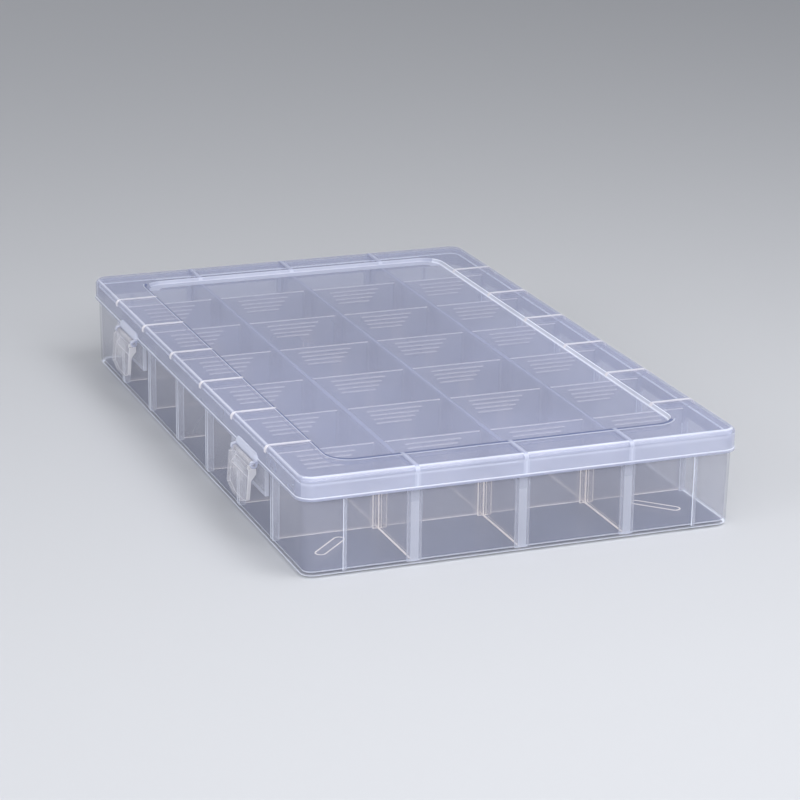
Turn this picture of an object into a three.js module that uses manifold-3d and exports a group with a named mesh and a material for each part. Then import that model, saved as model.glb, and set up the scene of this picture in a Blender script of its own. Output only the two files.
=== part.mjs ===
// Flat storage box of clear milky plastic: a tray with fixed partitions, lift-out dividers,
// a hinged lid and two swing latches.
// X runs along the long side, -Y is the latch side, +Y the hinge side, Z points up.
// The origin is on the table, under the middle of the box. Lengths are in millimetres.

import * as THREE from 'three';
import { mergeVertices } from 'three/addons/utils/BufferGeometryUtils.js';
import Module from 'manifold-3d';

const wasm = await Module();
wasm.setup();

// Lid
const LID_LENGTH = 348;
const LID_WIDTH = 216;
const LID_CORNER = 8;
const LID_SHEET = 1.2;
const LID_FILLET = 2.5;
const SKIRT_HEIGHT = 11.1;
const SKIRT_WALL = 1.15;
const BEAD_OUT = 0.35;
const BEAD_HEIGHT = 1.7;
const RECESS_INSET = 22.4;
const RECESS_END_INSET = 20.6;
const RECESS_DEPTH = 2.1;
const RECESS_SLOPE = 1;
const RECESS_CORNER = 11;
const LID_RIB = 1;
const LID_RIB_DROP = 0.3;

// Tray
const TRAY_HEIGHT = 43.4;
const TRAY_WALL = 1.3;
const TRAY_FLOOR = 1.3;
const TRAY_DRAFT = 0.6;
const TRAY_EDGE_RADIUS = 1.4;
const ROWS = 7;
const ROW_PITCH = 49.9;
const COLUMNS = 4;
const PARTITION = 1.1;
const SLOT_RIB_DEPTH = 3;
const SLOT_RIB = 1;
const WALL_BAND_DEPTH = 0.8;
const END_RIB_WIDTH = 2.4;
const END_RIB_OUT = 0.8;
const END_RIB_INSET = 22;

// Feet under the corner compartments
const FOOT_HEIGHT = 1;
const FOOT_LENGTH = 25;
const FOOT_WIDTH = 5.5;
const FOOT_TURN_DEG = 45;
const FOOT_INSET_X = 33.5;
const FOOT_INSET_Y = 26.2;

// Dividers
const DIVIDER = 1.2;
const DIVIDER_DROP = 0.5;
const DIVIDER_CHAMFER = 1.5;
const DIVIDER_TOP_CHAMFER = 1;
const GRIPS = 4;
const GRIP_TOP_LENGTH = 28;
const GRIP_FOOT_LENGTH = 18;
const GRIP_SPACING = 2.1;
const GRIP_HEIGHT = 0.8;
const GRIP_OUT = 0.5;
const GRIP_DROP = 2.5;

// Latches, each over the middle of the second row from an end
const LATCH_ROW = 2;
const LATCH_WIDTH = 30;
const LATCH_THICK = 1.7;
const LATCH_LENGTH = 19.7;
const LATCH_LEAN = 1.3;
const LATCH_SHOULDER_DROP = 1.4;
const LATCH_TIP_RISE = 3;
const LATCH_TIP_RUN = 9;
const BARREL_RADIUS = 1.2;
const BARREL_LENGTH = 26;
const LATCH_PIN_RADIUS = 0.8;
const LUG_THICK = 2.2;
const LUG_WALL = 0.6;
const HOOD_OUT = 1.55;
const HOOD_RISE = 3.2;
const HOOD_LIP = 0.4;
const NOSE_REACH = 2;
const NOSE_HEIGHT = 3.2;
const NOSE_SLOPE = 3;
const THUMB_WIDTH = 16.5;
const THUMB_HEIGHT = 9;
const THUMB_CORNER = 3;
const THUMB_DEPTH = 0.35;
const THUMB_DROP = 6.2;

// Catch pads that the latch noses close over
const PAD_HEIGHT = 13.2;
const PAD_OUT = 1.6;
const CATCH_WIDTH = 26;
const CATCH_HEIGHT = 2.2;
const CATCH_OUT = 0.5;

// Hinges, opposite the latches
const PIN_RADIUS = 1.4;
const KNUCKLE_WALL = 1.3;
const KNUCKLE_LENGTH = 14;
const KNUCKLE_MOUTH = 2.3;
const HINGE_DROP = 1.7;
const EAR_THICK = 2.2;
const EAR_RADIUS = 2.4;
const EAR_FALL = 6;
const ARM_RISE = 3.2;

// Clearances
const SEAT_GAP = 0.3;
const SLIDE_GAP = 0.3;
const DIVIDER_END_GAP = 1.2;
const LID_GAP = 0.4;
const SWING_GAP = 0.3;
const RIM_GAP = 0.4;

// Drawing values
const CUT = 1;
const CORNER_STEPS = 6;
const FILLET_STEPS = 4;
const ROUND_STEPS = 24;

// Heights and half sizes that follow
const trayFoot = FOOT_HEIGHT;
const trayRim = trayFoot + TRAY_HEIGHT;
const floorTop = trayFoot + TRAY_FLOOR;
const ribFoot = trayRim + SEAT_GAP;
const panelUnder = ribFoot + LID_RIB_DROP;
const panelTop = panelUnder + LID_SHEET;
const lidTop = panelTop + RECESS_DEPTH;
const lidRim = lidTop - SKIRT_HEIGHT;
const skirtInset = BEAD_OUT + SKIRT_WALL;
const trayInset = skirtInset + LID_GAP;
const trayHalf = { x: LID_LENGTH / 2 - trayInset, y: LID_WIDTH / 2 - trayInset };
const floorHalf = {
  x: trayHalf.x - TRAY_DRAFT - TRAY_WALL,
  y: trayHalf.y - TRAY_DRAFT - TRAY_WALL,
};
const columnClear = (2 * floorHalf.y - (COLUMNS - 1) * PARTITION) / COLUMNS;
const columnPitch = columnClear + PARTITION;
const dividerTop = trayRim - DIVIDER_DROP;
const latchX = ROW_PITCH * (ROWS / 2 + 1 / 2 - LATCH_ROW);

// Where the outside of a long or short tray wall stands at a height
function trayOuter(half, z) {
  return half - TRAY_DRAFT * (trayRim - z) / TRAY_HEIGHT;
}

function rowLines() {
  return Array.from({ length: ROWS - 1 }, (_, i) => (i - (ROWS - 2) / 2) * ROW_PITCH);
}

function partitionLines() {
  return Array.from({ length: COLUMNS - 1 }, (_, i) => (i - (COLUMNS - 2) / 2) * columnPitch);
}

// A closed geometry with merged corners, made into a solid that can be joined and cut
function solid(geometry) {
  const bare = geometry.clone();
  bare.deleteAttribute('normal');
  bare.deleteAttribute('uv');
  const merged = mergeVertices(bare);
  return new wasm.Manifold(new wasm.Mesh({
    numProp: 3,
    vertProperties: new Float32Array(merged.attributes.position.array),
    triVerts: new Uint32Array(merged.index.array),
  }));
}

function meshOf(shape, name, material) {
  const mesh = shape.getMesh();
  const geometry = new THREE.BufferGeometry();
  geometry.setAttribute('position', new THREE.BufferAttribute(mesh.vertProperties.slice(), 3));
  geometry.setIndex(new THREE.BufferAttribute(mesh.triVerts.slice(), 1));
  geometry.computeVertexNormals();
  const piece = new THREE.Mesh(geometry, material);
  piece.name = name;
  return piece;
}

function block(x0, x1, y0, y1, z0, z1) {
  const box = new THREE.BoxGeometry(x1 - x0, y1 - y0, z1 - z0);
  box.translate((x0 + x1) / 2, (y0 + y1) / 2, (z0 + z1) / 2);
  return solid(box);
}

// One level of a rounded rectangle, anticlockwise seen from above
function roundedRing({ x, y, r, z }) {
  const centres = [[1, 1, 0], [-1, 1, 1], [-1, -1, 2], [1, -1, 3]];
  const radius = Math.min(r, x, y);
  return centres.flatMap(([sx, sy, quarter]) =>
    Array.from({ length: CORNER_STEPS + 1 }, (_, i) => {
      const angle = (quarter + i / CORNER_STEPS) * Math.PI / 2;
      return [
        sx * (x - radius) + radius * Math.cos(angle),
        sy * (y - radius) + radius * Math.sin(angle),
        z,
      ];
    }));
}

// A solid through rounded rectangles stacked from low to high
function stack(levels) {
  const rings = levels.map(roundedRing);
  const count = rings[0].length;
  const points = rings.flat();
  const low = points.push([0, 0, levels[0].z]) - 1;
  const high = points.push([0, 0, levels[levels.length - 1].z]) - 1;
  const faces = [];
  for (let i = 0; i < count; i++) {
    const next = (i + 1) % count;
    faces.push(low, next, i);
    const top = (rings.length - 1) * count;
    faces.push(high, top + i, top + next);
    for (let level = 0; level < rings.length - 1; level++) {
      const a = level * count;
      const b = a + count;
      faces.push(a + i, a + next, b + next, a + i, b + next, b + i);
    }
  }
  const geometry = new THREE.BufferGeometry();
  geometry.setAttribute('position', new THREE.Float32BufferAttribute(points.flat(), 3));
  geometry.setIndex(faces);
  return solid(geometry);
}

// A prism along X, centred on x. Its outline is [out, up] points, where out runs from the
// middle of the box towards the hinge side (side 1) or the latch side (side -1).
function prism(outline, x, length, side) {
  const shape = new THREE.Shape(outline.map(([out, up]) => new THREE.Vector2(out, up)));
  const geometry = new THREE.ExtrudeGeometry(shape, { depth: length, bevelEnabled: false });
  geometry.applyMatrix4(new THREE.Matrix4().makeBasis(
    new THREE.Vector3(0, side, 0), new THREE.Vector3(0, 0, 1), new THREE.Vector3(side, 0, 0)));
  geometry.translate(x - side * length / 2, 0, 0);
  return solid(geometry);
}

// A round bar along X, centred on x
function rod(radius, x, length, y, z) {
  const geometry = new THREE.CylinderGeometry(radius, radius, length, ROUND_STEPS);
  geometry.rotateZ(Math.PI / 2);
  geometry.translate(x, y, z);
  return solid(geometry);
}

// An upright plate whose outline is [x, y] points, from z0 to z1
function plate(outline, z0, z1) {
  const shape = new THREE.Shape(outline.map(([x, y]) => new THREE.Vector2(x, y)));
  const geometry = new THREE.ExtrudeGeometry(shape, { depth: z1 - z0, bevelEnabled: false });
  geometry.translate(0, 0, z0);
  return solid(geometry);
}

// Tray
function trayShell() {
  const corner = LID_CORNER - trayInset;
  const foot = { x: trayHalf.x - TRAY_DRAFT, y: trayHalf.y - TRAY_DRAFT };
  const edge = Array.from({ length: FILLET_STEPS + 1 }, (_, i) => {
    const turn = i / FILLET_STEPS * Math.PI / 2;
    const inset = TRAY_EDGE_RADIUS * (1 - Math.sin(turn));
    return {
      x: foot.x - inset,
      y: foot.y - inset,
      r: corner - inset,
      z: trayFoot + TRAY_EDGE_RADIUS * (1 - Math.cos(turn)),
    };
  });
  return stack([...edge, { ...trayHalf, r: corner, z: trayRim }]);
}

// The hollow above the floor, before partitions and slot ribs are left standing in it
function trayHollow() {
  const corner = LID_CORNER - trayInset - TRAY_WALL;
  const over = TRAY_DRAFT * CUT / TRAY_HEIGHT;
  return stack([
    { ...floorHalf, r: corner, z: floorTop },
    {
      x: trayHalf.x - TRAY_WALL + over,
      y: trayHalf.y - TRAY_WALL + over,
      r: corner,
      z: trayRim + CUT,
    },
  ]);
}

// Both ribs of a divider's slot, on one side of a partition or on a long wall
function slotRibs(rowLine, y0, y1) {
  const inner = DIVIDER / 2 + SLIDE_GAP;
  return [-1, 1].map((side) => {
    const edges = [rowLine + side * inner, rowLine + side * (inner + SLOT_RIB)];
    return block(Math.min(...edges), Math.max(...edges), y0, y1, trayFoot, dividerTop);
  });
}

// Partitions, with a wider band where they meet the short walls, and the slot ribs
function standingInTray() {
  const pieces = [];
  const ribReach = PARTITION / 2 + SLOT_RIB_DEPTH;
  const band = floorHalf.x - WALL_BAND_DEPTH;
  for (const line of partitionLines()) {
    pieces.push(block(
      -trayHalf.x, trayHalf.x,
      line - PARTITION / 2, line + PARTITION / 2,
      trayFoot, trayRim,
    ));
    for (const [x0, x1] of [[-trayHalf.x, -band], [band, trayHalf.x]]) {
      pieces.push(block(x0, x1, line - ribReach, line + ribReach, trayFoot, dividerTop));
    }
  }
  for (const rowLine of rowLines()) {
    for (const line of partitionLines()) {
      pieces.push(...slotRibs(rowLine, line - ribReach, line + ribReach));
    }
    for (const side of [-1, 1]) {
      const tip = side * (floorHalf.y - SLOT_RIB_DEPTH);
      const root = side * trayHalf.y;
      pieces.push(...slotRibs(rowLine, Math.min(tip, root), Math.max(tip, root)));
    }
  }
  return pieces.reduce((whole, piece) => whole.add(piece));
}

function foot(signX, signY) {
  const straight = (FOOT_LENGTH - FOOT_WIDTH) / 2;
  const outline = [];
  for (const [end, start] of [[1, -Math.PI / 2], [-1, Math.PI / 2]]) {
    for (let i = 0; i <= CORNER_STEPS; i++) {
      const angle = start + i / CORNER_STEPS * Math.PI;
      outline.push([
        end * straight + FOOT_WIDTH / 2 * Math.cos(angle),
        FOOT_WIDTH / 2 * Math.sin(angle),
      ]);
    }
  }
  const turn = signX * signY * THREE.MathUtils.degToRad(FOOT_TURN_DEG);
  const centre = [
    signX * (LID_LENGTH / 2 - FOOT_INSET_X),
    signY * (LID_WIDTH / 2 - FOOT_INSET_Y),
  ];
  return plate(outline.map(([x, y]) => [
    centre[0] + x * Math.cos(turn) - y * Math.sin(turn),
    centre[1] + x * Math.sin(turn) + y * Math.cos(turn),
  ]), 0, trayFoot + TRAY_FLOOR / 2);
}

// Upright ribs on the outside of the short walls, near their ends
function endRib(signX, signY) {
  const wallFoot = trayOuter(trayHalf.x, trayFoot);
  const top = lidRim - RIM_GAP;
  const y = signY * (LID_WIDTH / 2 - END_RIB_INSET);
  const outline = [
    [wallFoot - TRAY_WALL / 2, trayFoot + TRAY_EDGE_RADIUS],
    [wallFoot + END_RIB_OUT, trayFoot + TRAY_EDGE_RADIUS],
    [trayOuter(trayHalf.x, top) + END_RIB_OUT, top],
    [trayOuter(trayHalf.x, top) - TRAY_WALL / 2, top],
  ];
  const shape = new THREE.Shape(outline.map(([out, up]) => new THREE.Vector2(out, up)));
  const geometry = new THREE.ExtrudeGeometry(shape, { depth: END_RIB_WIDTH, bevelEnabled: false });
  geometry.applyMatrix4(new THREE.Matrix4().makeBasis(
    new THREE.Vector3(signX, 0, 0), new THREE.Vector3(0, 0, 1), new THREE.Vector3(0, -signX, 0)));
  geometry.translate(0, y + signX * END_RIB_WIDTH / 2, 0);
  return solid(geometry);
}

// The pad behind a latch, as long as one row, with the catch that the nose closes over
const padOut = trayOuter(trayHalf.y, lidRim) + PAD_OUT;
const padTop = lidRim - RIM_GAP;
const catchOut = padOut + CATCH_OUT;
const catchFoot = padTop - CATCH_HEIGHT;

function catchPad(x) {
  const root = trayHalf.y - TRAY_DRAFT - TRAY_WALL / 2;
  const pad = prism([
    [root, padTop - PAD_HEIGHT],
    [padOut, padTop - PAD_HEIGHT],
    [padOut, padTop],
    [root, padTop],
  ], x, ROW_PITCH, -1);
  const ridge = prism([
    [root, catchFoot],
    [catchOut, catchFoot],
    [catchOut, padTop - CATCH_HEIGHT / 2],
    [padOut, padTop],
    [root, padTop],
  ], x, CATCH_WIDTH, -1);
  return pad.add(ridge);
}

// Hinges: a pin between two ears on the tray, and a knuckle of the lid that snaps round it
const knuckleRadius = PIN_RADIUS + SWING_GAP + KNUCKLE_WALL;
const latchInner = catchOut + SWING_GAP + NOSE_REACH;
const latchOuter = latchInner + LATCH_THICK;
const reach = latchOuter + LATCH_LEAN;
const hinge = { y: reach - knuckleRadius, z: lidRim - HINGE_DROP };

function hingeEars(x) {
  const root = trayHalf.y - TRAY_DRAFT - TRAY_WALL / 2;
  const ears = [-1, 1].map((side) => {
    const middle = x + side * ((KNUCKLE_LENGTH + EAR_THICK) / 2 + SWING_GAP);
    const arm = prism([
      [root, hinge.z + EAR_RADIUS / 2],
      [root, hinge.z - EAR_FALL],
      [hinge.y, hinge.z - EAR_RADIUS],
      [hinge.y, hinge.z + EAR_RADIUS / 2],
    ], middle, EAR_THICK, 1);
    return rod(EAR_RADIUS, middle, EAR_THICK, hinge.y, hinge.z).add(arm);
  });
  const pin = rod(PIN_RADIUS, x, KNUCKLE_LENGTH + 2 * SWING_GAP + EAR_THICK, hinge.y, hinge.z);
  return ears[0].add(ears[1]).add(pin);
}

function tray() {
  let body = trayShell().subtract(trayHollow().subtract(standingInTray()));
  for (const signX of [-1, 1]) {
    for (const signY of [-1, 1]) {
      body = body.add(foot(signX, signY)).add(endRib(signX, signY));
    }
    body = body.add(catchPad(signX * latchX)).add(hingeEars(signX * latchX));
  }
  return body.subtract(trayHollow().subtract(standingInTray()));
}

// Lid
function lidShell() {
  const half = { x: LID_LENGTH / 2, y: LID_WIDTH / 2 };
  const level = (inset, z) => ({
    x: half.x - inset, y: half.y - inset, r: LID_CORNER - inset, z,
  });
  const fillet = Array.from({ length: FILLET_STEPS + 1 }, (_, i) => {
    const turn = i / FILLET_STEPS * Math.PI / 2;
    return level(
      BEAD_OUT + LID_FILLET * (1 - Math.cos(turn)),
      lidTop - LID_FILLET * (1 - Math.sin(turn)),
    );
  });
  return stack([
    level(BEAD_OUT, lidRim),
    level(0, lidRim + BEAD_HEIGHT / 4),
    level(0, lidRim + BEAD_HEIGHT * 3 / 4),
    level(BEAD_OUT, lidRim + BEAD_HEIGHT),
    ...fillet,
  ]);
}

function recess(extra, z0, z1) {
  const level = (inset, z) => ({
    x: LID_LENGTH / 2 - RECESS_END_INSET - inset + extra,
    y: LID_WIDTH / 2 - RECESS_INSET - inset + extra,
    r: RECESS_CORNER - inset + extra,
    z,
  });
  const rise = RECESS_SLOPE / RECESS_DEPTH;
  return stack([level(RECESS_SLOPE, z0), level(-rise * (z1 - z0 - RECESS_DEPTH), z1)]);
}

// What stands in the lid's hollow: the sunk panel's sheet, and thin ribs over every wall line
function standingInLid() {
  const pieces = [recess(LID_SHEET, panelUnder, lidTop)];
  const half = { x: LID_LENGTH / 2 - skirtInset / 2, y: LID_WIDTH / 2 - skirtInset / 2 };
  for (const line of partitionLines()) {
    pieces.push(block(-half.x, half.x, line - LID_RIB / 2, line + LID_RIB / 2, ribFoot, lidTop));
  }
  const inner = LID_WIDTH / 2 - RECESS_INSET - RECESS_SLOPE;
  for (const line of rowLines()) {
    for (const [y0, y1] of [[-half.y, -inner], [inner, half.y]]) {
      pieces.push(block(line - LID_RIB / 2, line + LID_RIB / 2, y0, y1, ribFoot, lidTop));
    }
  }
  return pieces.reduce((whole, piece) => whole.add(piece));
}

function lidHollow() {
  const corner = LID_CORNER - skirtInset;
  const under = lidTop - LID_SHEET;
  const level = (inset, z) => ({
    x: LID_LENGTH / 2 - skirtInset - inset,
    y: LID_WIDTH / 2 - skirtInset - inset,
    r: corner - inset,
    z,
  });
  const fillet = LID_FILLET - LID_SHEET;
  return stack([
    level(0, lidRim - CUT),
    level(0, under - fillet),
    level(fillet * (1 - Math.SQRT1_2), under - fillet * (1 - Math.SQRT1_2)),
    level(fillet, under),
  ]);
}

// A latch's pin axis, under the lid's rim, and the shapes that follow from it
const latchAxis = {
  out: catchOut + SWING_GAP + BARREL_RADIUS,
  z: lidRim - SWING_GAP - BARREL_RADIUS,
};
const latchShoulder = latchAxis.z - LATCH_SHOULDER_DROP;
const latchTip = latchAxis.z - LATCH_LENGTH;
const lugRadius = LATCH_PIN_RADIUS + SWING_GAP + LUG_WALL;
const lugMiddle = BARREL_LENGTH / 2 + SWING_GAP + LUG_THICK / 2;
const hoodLength = BARREL_LENGTH + 2 * (SWING_GAP + LUG_THICK);
const skirtFace = LID_WIDTH / 2 - BEAD_OUT;

// The rounded hood over a latch, with a lug at each end that holds the latch's pin
function latchHood(x) {
  const capsule = new THREE.CapsuleGeometry(
    HOOD_RISE, hoodLength - 2 * HOOD_RISE, FILLET_STEPS, ROUND_STEPS);
  capsule.rotateZ(Math.PI / 2);
  capsule.scale(1, HOOD_OUT / HOOD_RISE, 1);
  capsule.translate(x, -skirtFace, lidRim + HOOD_LIP);
  const root = skirtFace - SKIRT_WALL / 2;
  const room = block(
    x - hoodLength / 2, x + hoodLength / 2,
    -(skirtFace + HOOD_OUT + CUT), -root,
    lidRim, lidRim + HOOD_LIP + HOOD_RISE + CUT,
  );
  let hood = solid(capsule).intersect(room);
  const neckTop = lidRim + HOOD_LIP;
  for (const side of [-1, 1]) {
    const middle = x + side * lugMiddle;
    const neck = prism([
      [latchAxis.out - lugRadius, latchAxis.z],
      [latchAxis.out + lugRadius * Math.SQRT1_2, latchAxis.z + lugRadius * Math.SQRT1_2],
      [skirtFace + HOOD_OUT * Math.SQRT1_2, neckTop],
      [latchAxis.out - lugRadius, neckTop],
    ], middle, LUG_THICK, -1);
    const eye = rod(lugRadius, middle, LUG_THICK, -latchAxis.out, latchAxis.z);
    hood = hood.add(eye.add(neck));
  }
  const hole = rod(
    LATCH_PIN_RADIUS + SWING_GAP, x, hoodLength + CUT, -latchAxis.out, latchAxis.z);
  return hood.subtract(hole);
}

function knuckle(x) {
  const root = LID_WIDTH / 2 - BEAD_OUT - SKIRT_WALL / 2;
  const arm = prism([
    [root, lidRim],
    [LID_WIDTH / 2, lidRim],
    [hinge.y, hinge.z],
    [hinge.y, hinge.z + knuckleRadius],
    [LID_WIDTH / 2, lidRim + ARM_RISE],
    [root, lidRim + ARM_RISE],
  ], x, KNUCKLE_LENGTH, 1);
  const ring = rod(knuckleRadius, x, KNUCKLE_LENGTH, hinge.y, hinge.z);
  const bore = rod(PIN_RADIUS + SWING_GAP, x, KNUCKLE_LENGTH + CUT, hinge.y, hinge.z);
  const mouth = block(
    x - KNUCKLE_LENGTH / 2 - CUT, x + KNUCKLE_LENGTH / 2 + CUT,
    hinge.y - KNUCKLE_MOUTH / 2, hinge.y + KNUCKLE_MOUTH / 2,
    hinge.z - knuckleRadius - CUT, hinge.z,
  );
  return ring.add(arm).subtract(bore).subtract(mouth);
}

function lid() {
  const sunk = recess(0, panelTop, lidTop + CUT);
  let body = lidShell().subtract(lidHollow().subtract(standingInLid())).subtract(sunk);
  for (const side of [-1, 1]) {
    body = body.add(latchHood(side * latchX)).add(knuckle(side * latchX));
  }
  return body;
}

// A divider: a plate with finger grips on both faces, wider at the top than below
function divider(rowLine, column) {
  const y = (column - (COLUMNS - 1) / 2) * columnPitch;
  const half = columnClear / 2 - DIVIDER_END_GAP;
  const foot = floorTop + SEAT_GAP;
  const outline = [
    [y - half, dividerTop - DIVIDER_TOP_CHAMFER],
    [y - half, foot + DIVIDER_CHAMFER],
    [y - half + DIVIDER_CHAMFER, foot],
    [y + half - DIVIDER_CHAMFER, foot],
    [y + half, foot + DIVIDER_CHAMFER],
    [y + half, dividerTop - DIVIDER_TOP_CHAMFER],
    [y + half - DIVIDER_TOP_CHAMFER, dividerTop],
    [y - half + DIVIDER_TOP_CHAMFER, dividerTop],
  ];
  let body = prism(outline, rowLine, DIVIDER, 1);
  for (let i = 0; i < GRIPS; i++) {
    const share = GRIPS > 1 ? i / (GRIPS - 1) : 0;
    const length = GRIP_TOP_LENGTH + share * (GRIP_FOOT_LENGTH - GRIP_TOP_LENGTH);
    const z = dividerTop - GRIP_DROP - i * GRIP_SPACING;
    body = body.add(block(
      rowLine - DIVIDER / 2 - GRIP_OUT, rowLine + DIVIDER / 2 + GRIP_OUT,
      y - length / 2, y + length / 2,
      z - GRIP_HEIGHT / 2, z + GRIP_HEIGHT / 2,
    ));
  }
  return body;
}

// How much further out a latch's flap stands at a height than at its shoulder
function latchLean(z) {
  return LATCH_LEAN * (latchShoulder - z) / (latchShoulder - latchTip);
}

// The shallow thumb recess on a latch's face, leaning as the flap does
function thumbRecess(x) {
  const ring = roundedRing({ x: THUMB_WIDTH / 2, y: THUMB_HEIGHT / 2, r: THUMB_CORNER, z: 0 });
  const shape = new THREE.Shape(ring.map(([across, up]) => new THREE.Vector2(across, up)));
  const recessed = new THREE.ExtrudeGeometry(shape, { depth: CUT, bevelEnabled: false });
  recessed.translate(0, 0, -THUMB_DEPTH);
  recessed.rotateX(Math.PI / 2 - Math.atan2(LATCH_LEAN, latchShoulder - latchTip));
  const z = latchAxis.z - THUMB_DROP;
  recessed.translate(x, -(latchOuter + latchLean(z)), z);
  return solid(recessed);
}

// A latch: a leaning flap with a barrel and two pins along its top, and a nose inside
function latch(x) {
  const { out, z } = latchAxis;
  const noseTop = catchFoot - SWING_GAP;
  const noseFoot = noseTop - NOSE_HEIGHT;
  const noseRoot = noseFoot - NOSE_SLOPE;
  const profile = [
    [out, z],
    [latchInner - NOSE_REACH, noseTop],
    [latchInner - NOSE_REACH, noseFoot],
    [latchInner + latchLean(noseRoot), noseRoot],
    [latchInner + LATCH_LEAN, latchTip],
    [reach, latchTip],
    [latchOuter, latchShoulder],
    [out, z + BARREL_RADIUS],
  ];
  const side = LATCH_WIDTH / 2;
  const front = new THREE.Shape([
    [-side, z + BARREL_RADIUS + CUT],
    [-side, latchTip + LATCH_TIP_RISE],
    [-side + LATCH_TIP_RUN, latchTip],
    [side - LATCH_TIP_RUN, latchTip],
    [side, latchTip + LATCH_TIP_RISE],
    [side, z + BARREL_RADIUS + CUT],
  ].map(([across, up]) => new THREE.Vector2(across, up)));
  const depth = reach - catchOut + CUT;
  const outline = new THREE.ExtrudeGeometry(front, { depth, bevelEnabled: false });
  outline.rotateX(Math.PI / 2);
  outline.translate(x, -catchOut, 0);
  let flap = prism(profile, x, LATCH_WIDTH, -1).intersect(solid(outline));
  for (const end of [-1, 1]) {
    flap = flap.subtract(rod(
      lugRadius + SWING_GAP, x + end * lugMiddle, LUG_THICK + 2 * SWING_GAP, -out, z));
  }
  return flap
    .add(rod(BARREL_RADIUS, x, BARREL_LENGTH, -out, z))
    .add(rod(LATCH_PIN_RADIUS, x, hoodLength, -out, z))
    .subtract(thumbRecess(x));
}

// Materials
function plastic(colour, opacity) {
  return new THREE.MeshStandardMaterial({
    color: colour, roughness: 0.28, metalness: 0, transparent: true, opacity,
  });
}

const trayPlastic = plastic(0xd3d8ea, 0.42);
const lidPlastic = plastic(0xdadff0, 0.36);
const dividerPlastic = plastic(0xcdd2e4, 0.4);
const latchPlastic = plastic(0xe2e0e6, 0.5);

const box = new THREE.Group();
box.add(meshOf(tray(), 'tray', trayPlastic));
box.add(meshOf(lid(), 'lid', lidPlastic));
box.add(meshOf(latch(-latchX), 'latch_left', latchPlastic));
box.add(meshOf(latch(latchX), 'latch_right', latchPlastic));
rowLines().forEach((rowLine, row) => {
  for (let column = 0; column < COLUMNS; column++) {
    const name = `divider_row${row + 1}_column${column + 1}`;
    box.add(meshOf(divider(rowLine, column), name, dividerPlastic));
  }
});

export default box;
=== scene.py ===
# %% [markdown]
# A flat storage box of clear, slightly milky plastic. A tray with fixed partitions holds
# lift-out dividers, and a hinged lid with a sunk panel closes over it with two swing latches.
# Every piece below is thin moulded plastic, so the work is mostly thin walls with soft
# edges, and one plastic finish that is see-through on the broad faces and whitish on edges.

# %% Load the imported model
import math

import bmesh
import bpy
from mathutils import Matrix, Vector


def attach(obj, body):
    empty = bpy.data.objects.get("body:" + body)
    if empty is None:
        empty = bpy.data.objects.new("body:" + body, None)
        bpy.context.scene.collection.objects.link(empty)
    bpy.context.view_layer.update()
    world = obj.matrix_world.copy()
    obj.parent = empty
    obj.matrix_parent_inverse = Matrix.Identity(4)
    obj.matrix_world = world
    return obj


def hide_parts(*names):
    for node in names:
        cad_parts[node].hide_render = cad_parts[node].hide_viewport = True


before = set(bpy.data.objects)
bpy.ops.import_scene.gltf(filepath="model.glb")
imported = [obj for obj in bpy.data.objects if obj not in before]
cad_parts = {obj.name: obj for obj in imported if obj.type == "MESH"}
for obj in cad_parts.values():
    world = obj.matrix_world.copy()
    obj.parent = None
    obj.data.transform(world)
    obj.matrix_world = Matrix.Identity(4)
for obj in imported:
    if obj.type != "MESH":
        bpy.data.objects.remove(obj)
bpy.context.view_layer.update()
scene = bpy.context.scene
MM = 0.001

# %% [markdown]
# The sizes repeat the ones the solid model was built from, in millimetres. X runs along the
# long side, -Y is the latch side, and the table is at Z 0. Keeping them together at the top
# lets the pieces fit one another without measuring any mesh. A piece sinks into the one it
# stands on by a small overlap, so that no gap shows.

# %% Sizes of the box
LID_HALF = (174.0, 108.0)
LID_CORNER = 8.0
LID_TOP = 48.3
LID_RIM = 37.2
LID_SHEET = 1.2
LID_FILLET = 2.5
SKIRT_OUT = 0.35
SKIRT_WALL = 1.15
BEAD_HEIGHT = 1.7
RECESS_INSET = (20.6, 22.4)
RECESS_DEPTH = 2.1
RECESS_SLOPE = 1.0
RECESS_CORNER = 11.0
RIB_FOOT = 44.7
TRAY_HALF = (172.1, 106.1)
TRAY_CORNER = 6.1
TRAY_FOOT = 1.0
TRAY_RIM = 44.4
TRAY_WALL = 1.3
TRAY_DRAFT = 0.6
TRAY_EDGE = 1.4
FLOOR_TOP = 2.3
SLOT_TOP = 43.9
ROW_PITCH = 49.9
ROW_LINES = 6
COLUMN_PITCH = 52.375
COLUMN_LINES = 3
LATCH_X = 99.8
BAND_DEPTH = 0.8
OVERLAP = 0.05
RECESS_RIM = [LID_HALF[i] - RECESS_INSET[i] for i in (0, 1)]
FOOT_HALF = [TRAY_HALF[i] - TRAY_DRAFT for i in (0, 1)]
FLOOR_HALF = [TRAY_HALF[i] - TRAY_DRAFT - TRAY_WALL for i in (0, 1)]
print("floor mm", [round(2 * half, 1) for half in FLOOR_HALF])

# %% [markdown]
# The camera is a long lens looking down along the box from above one short side. Its place
# and turn come from fitting the box's straight edges, so it is written as numbers, and its
# three axes are worked out from two angles and a small roll.

# %% Camera
SENSOR_WIDTH = 36
CAMERA_PLACE = (1260.31, -482.70, 460.80)
CAMERA_YAW = 0.36980
CAMERA_PITCH = 0.31573
CAMERA_ROLL = 0.01338
FOCAL_SHARE = 2802.92 / 800

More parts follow.
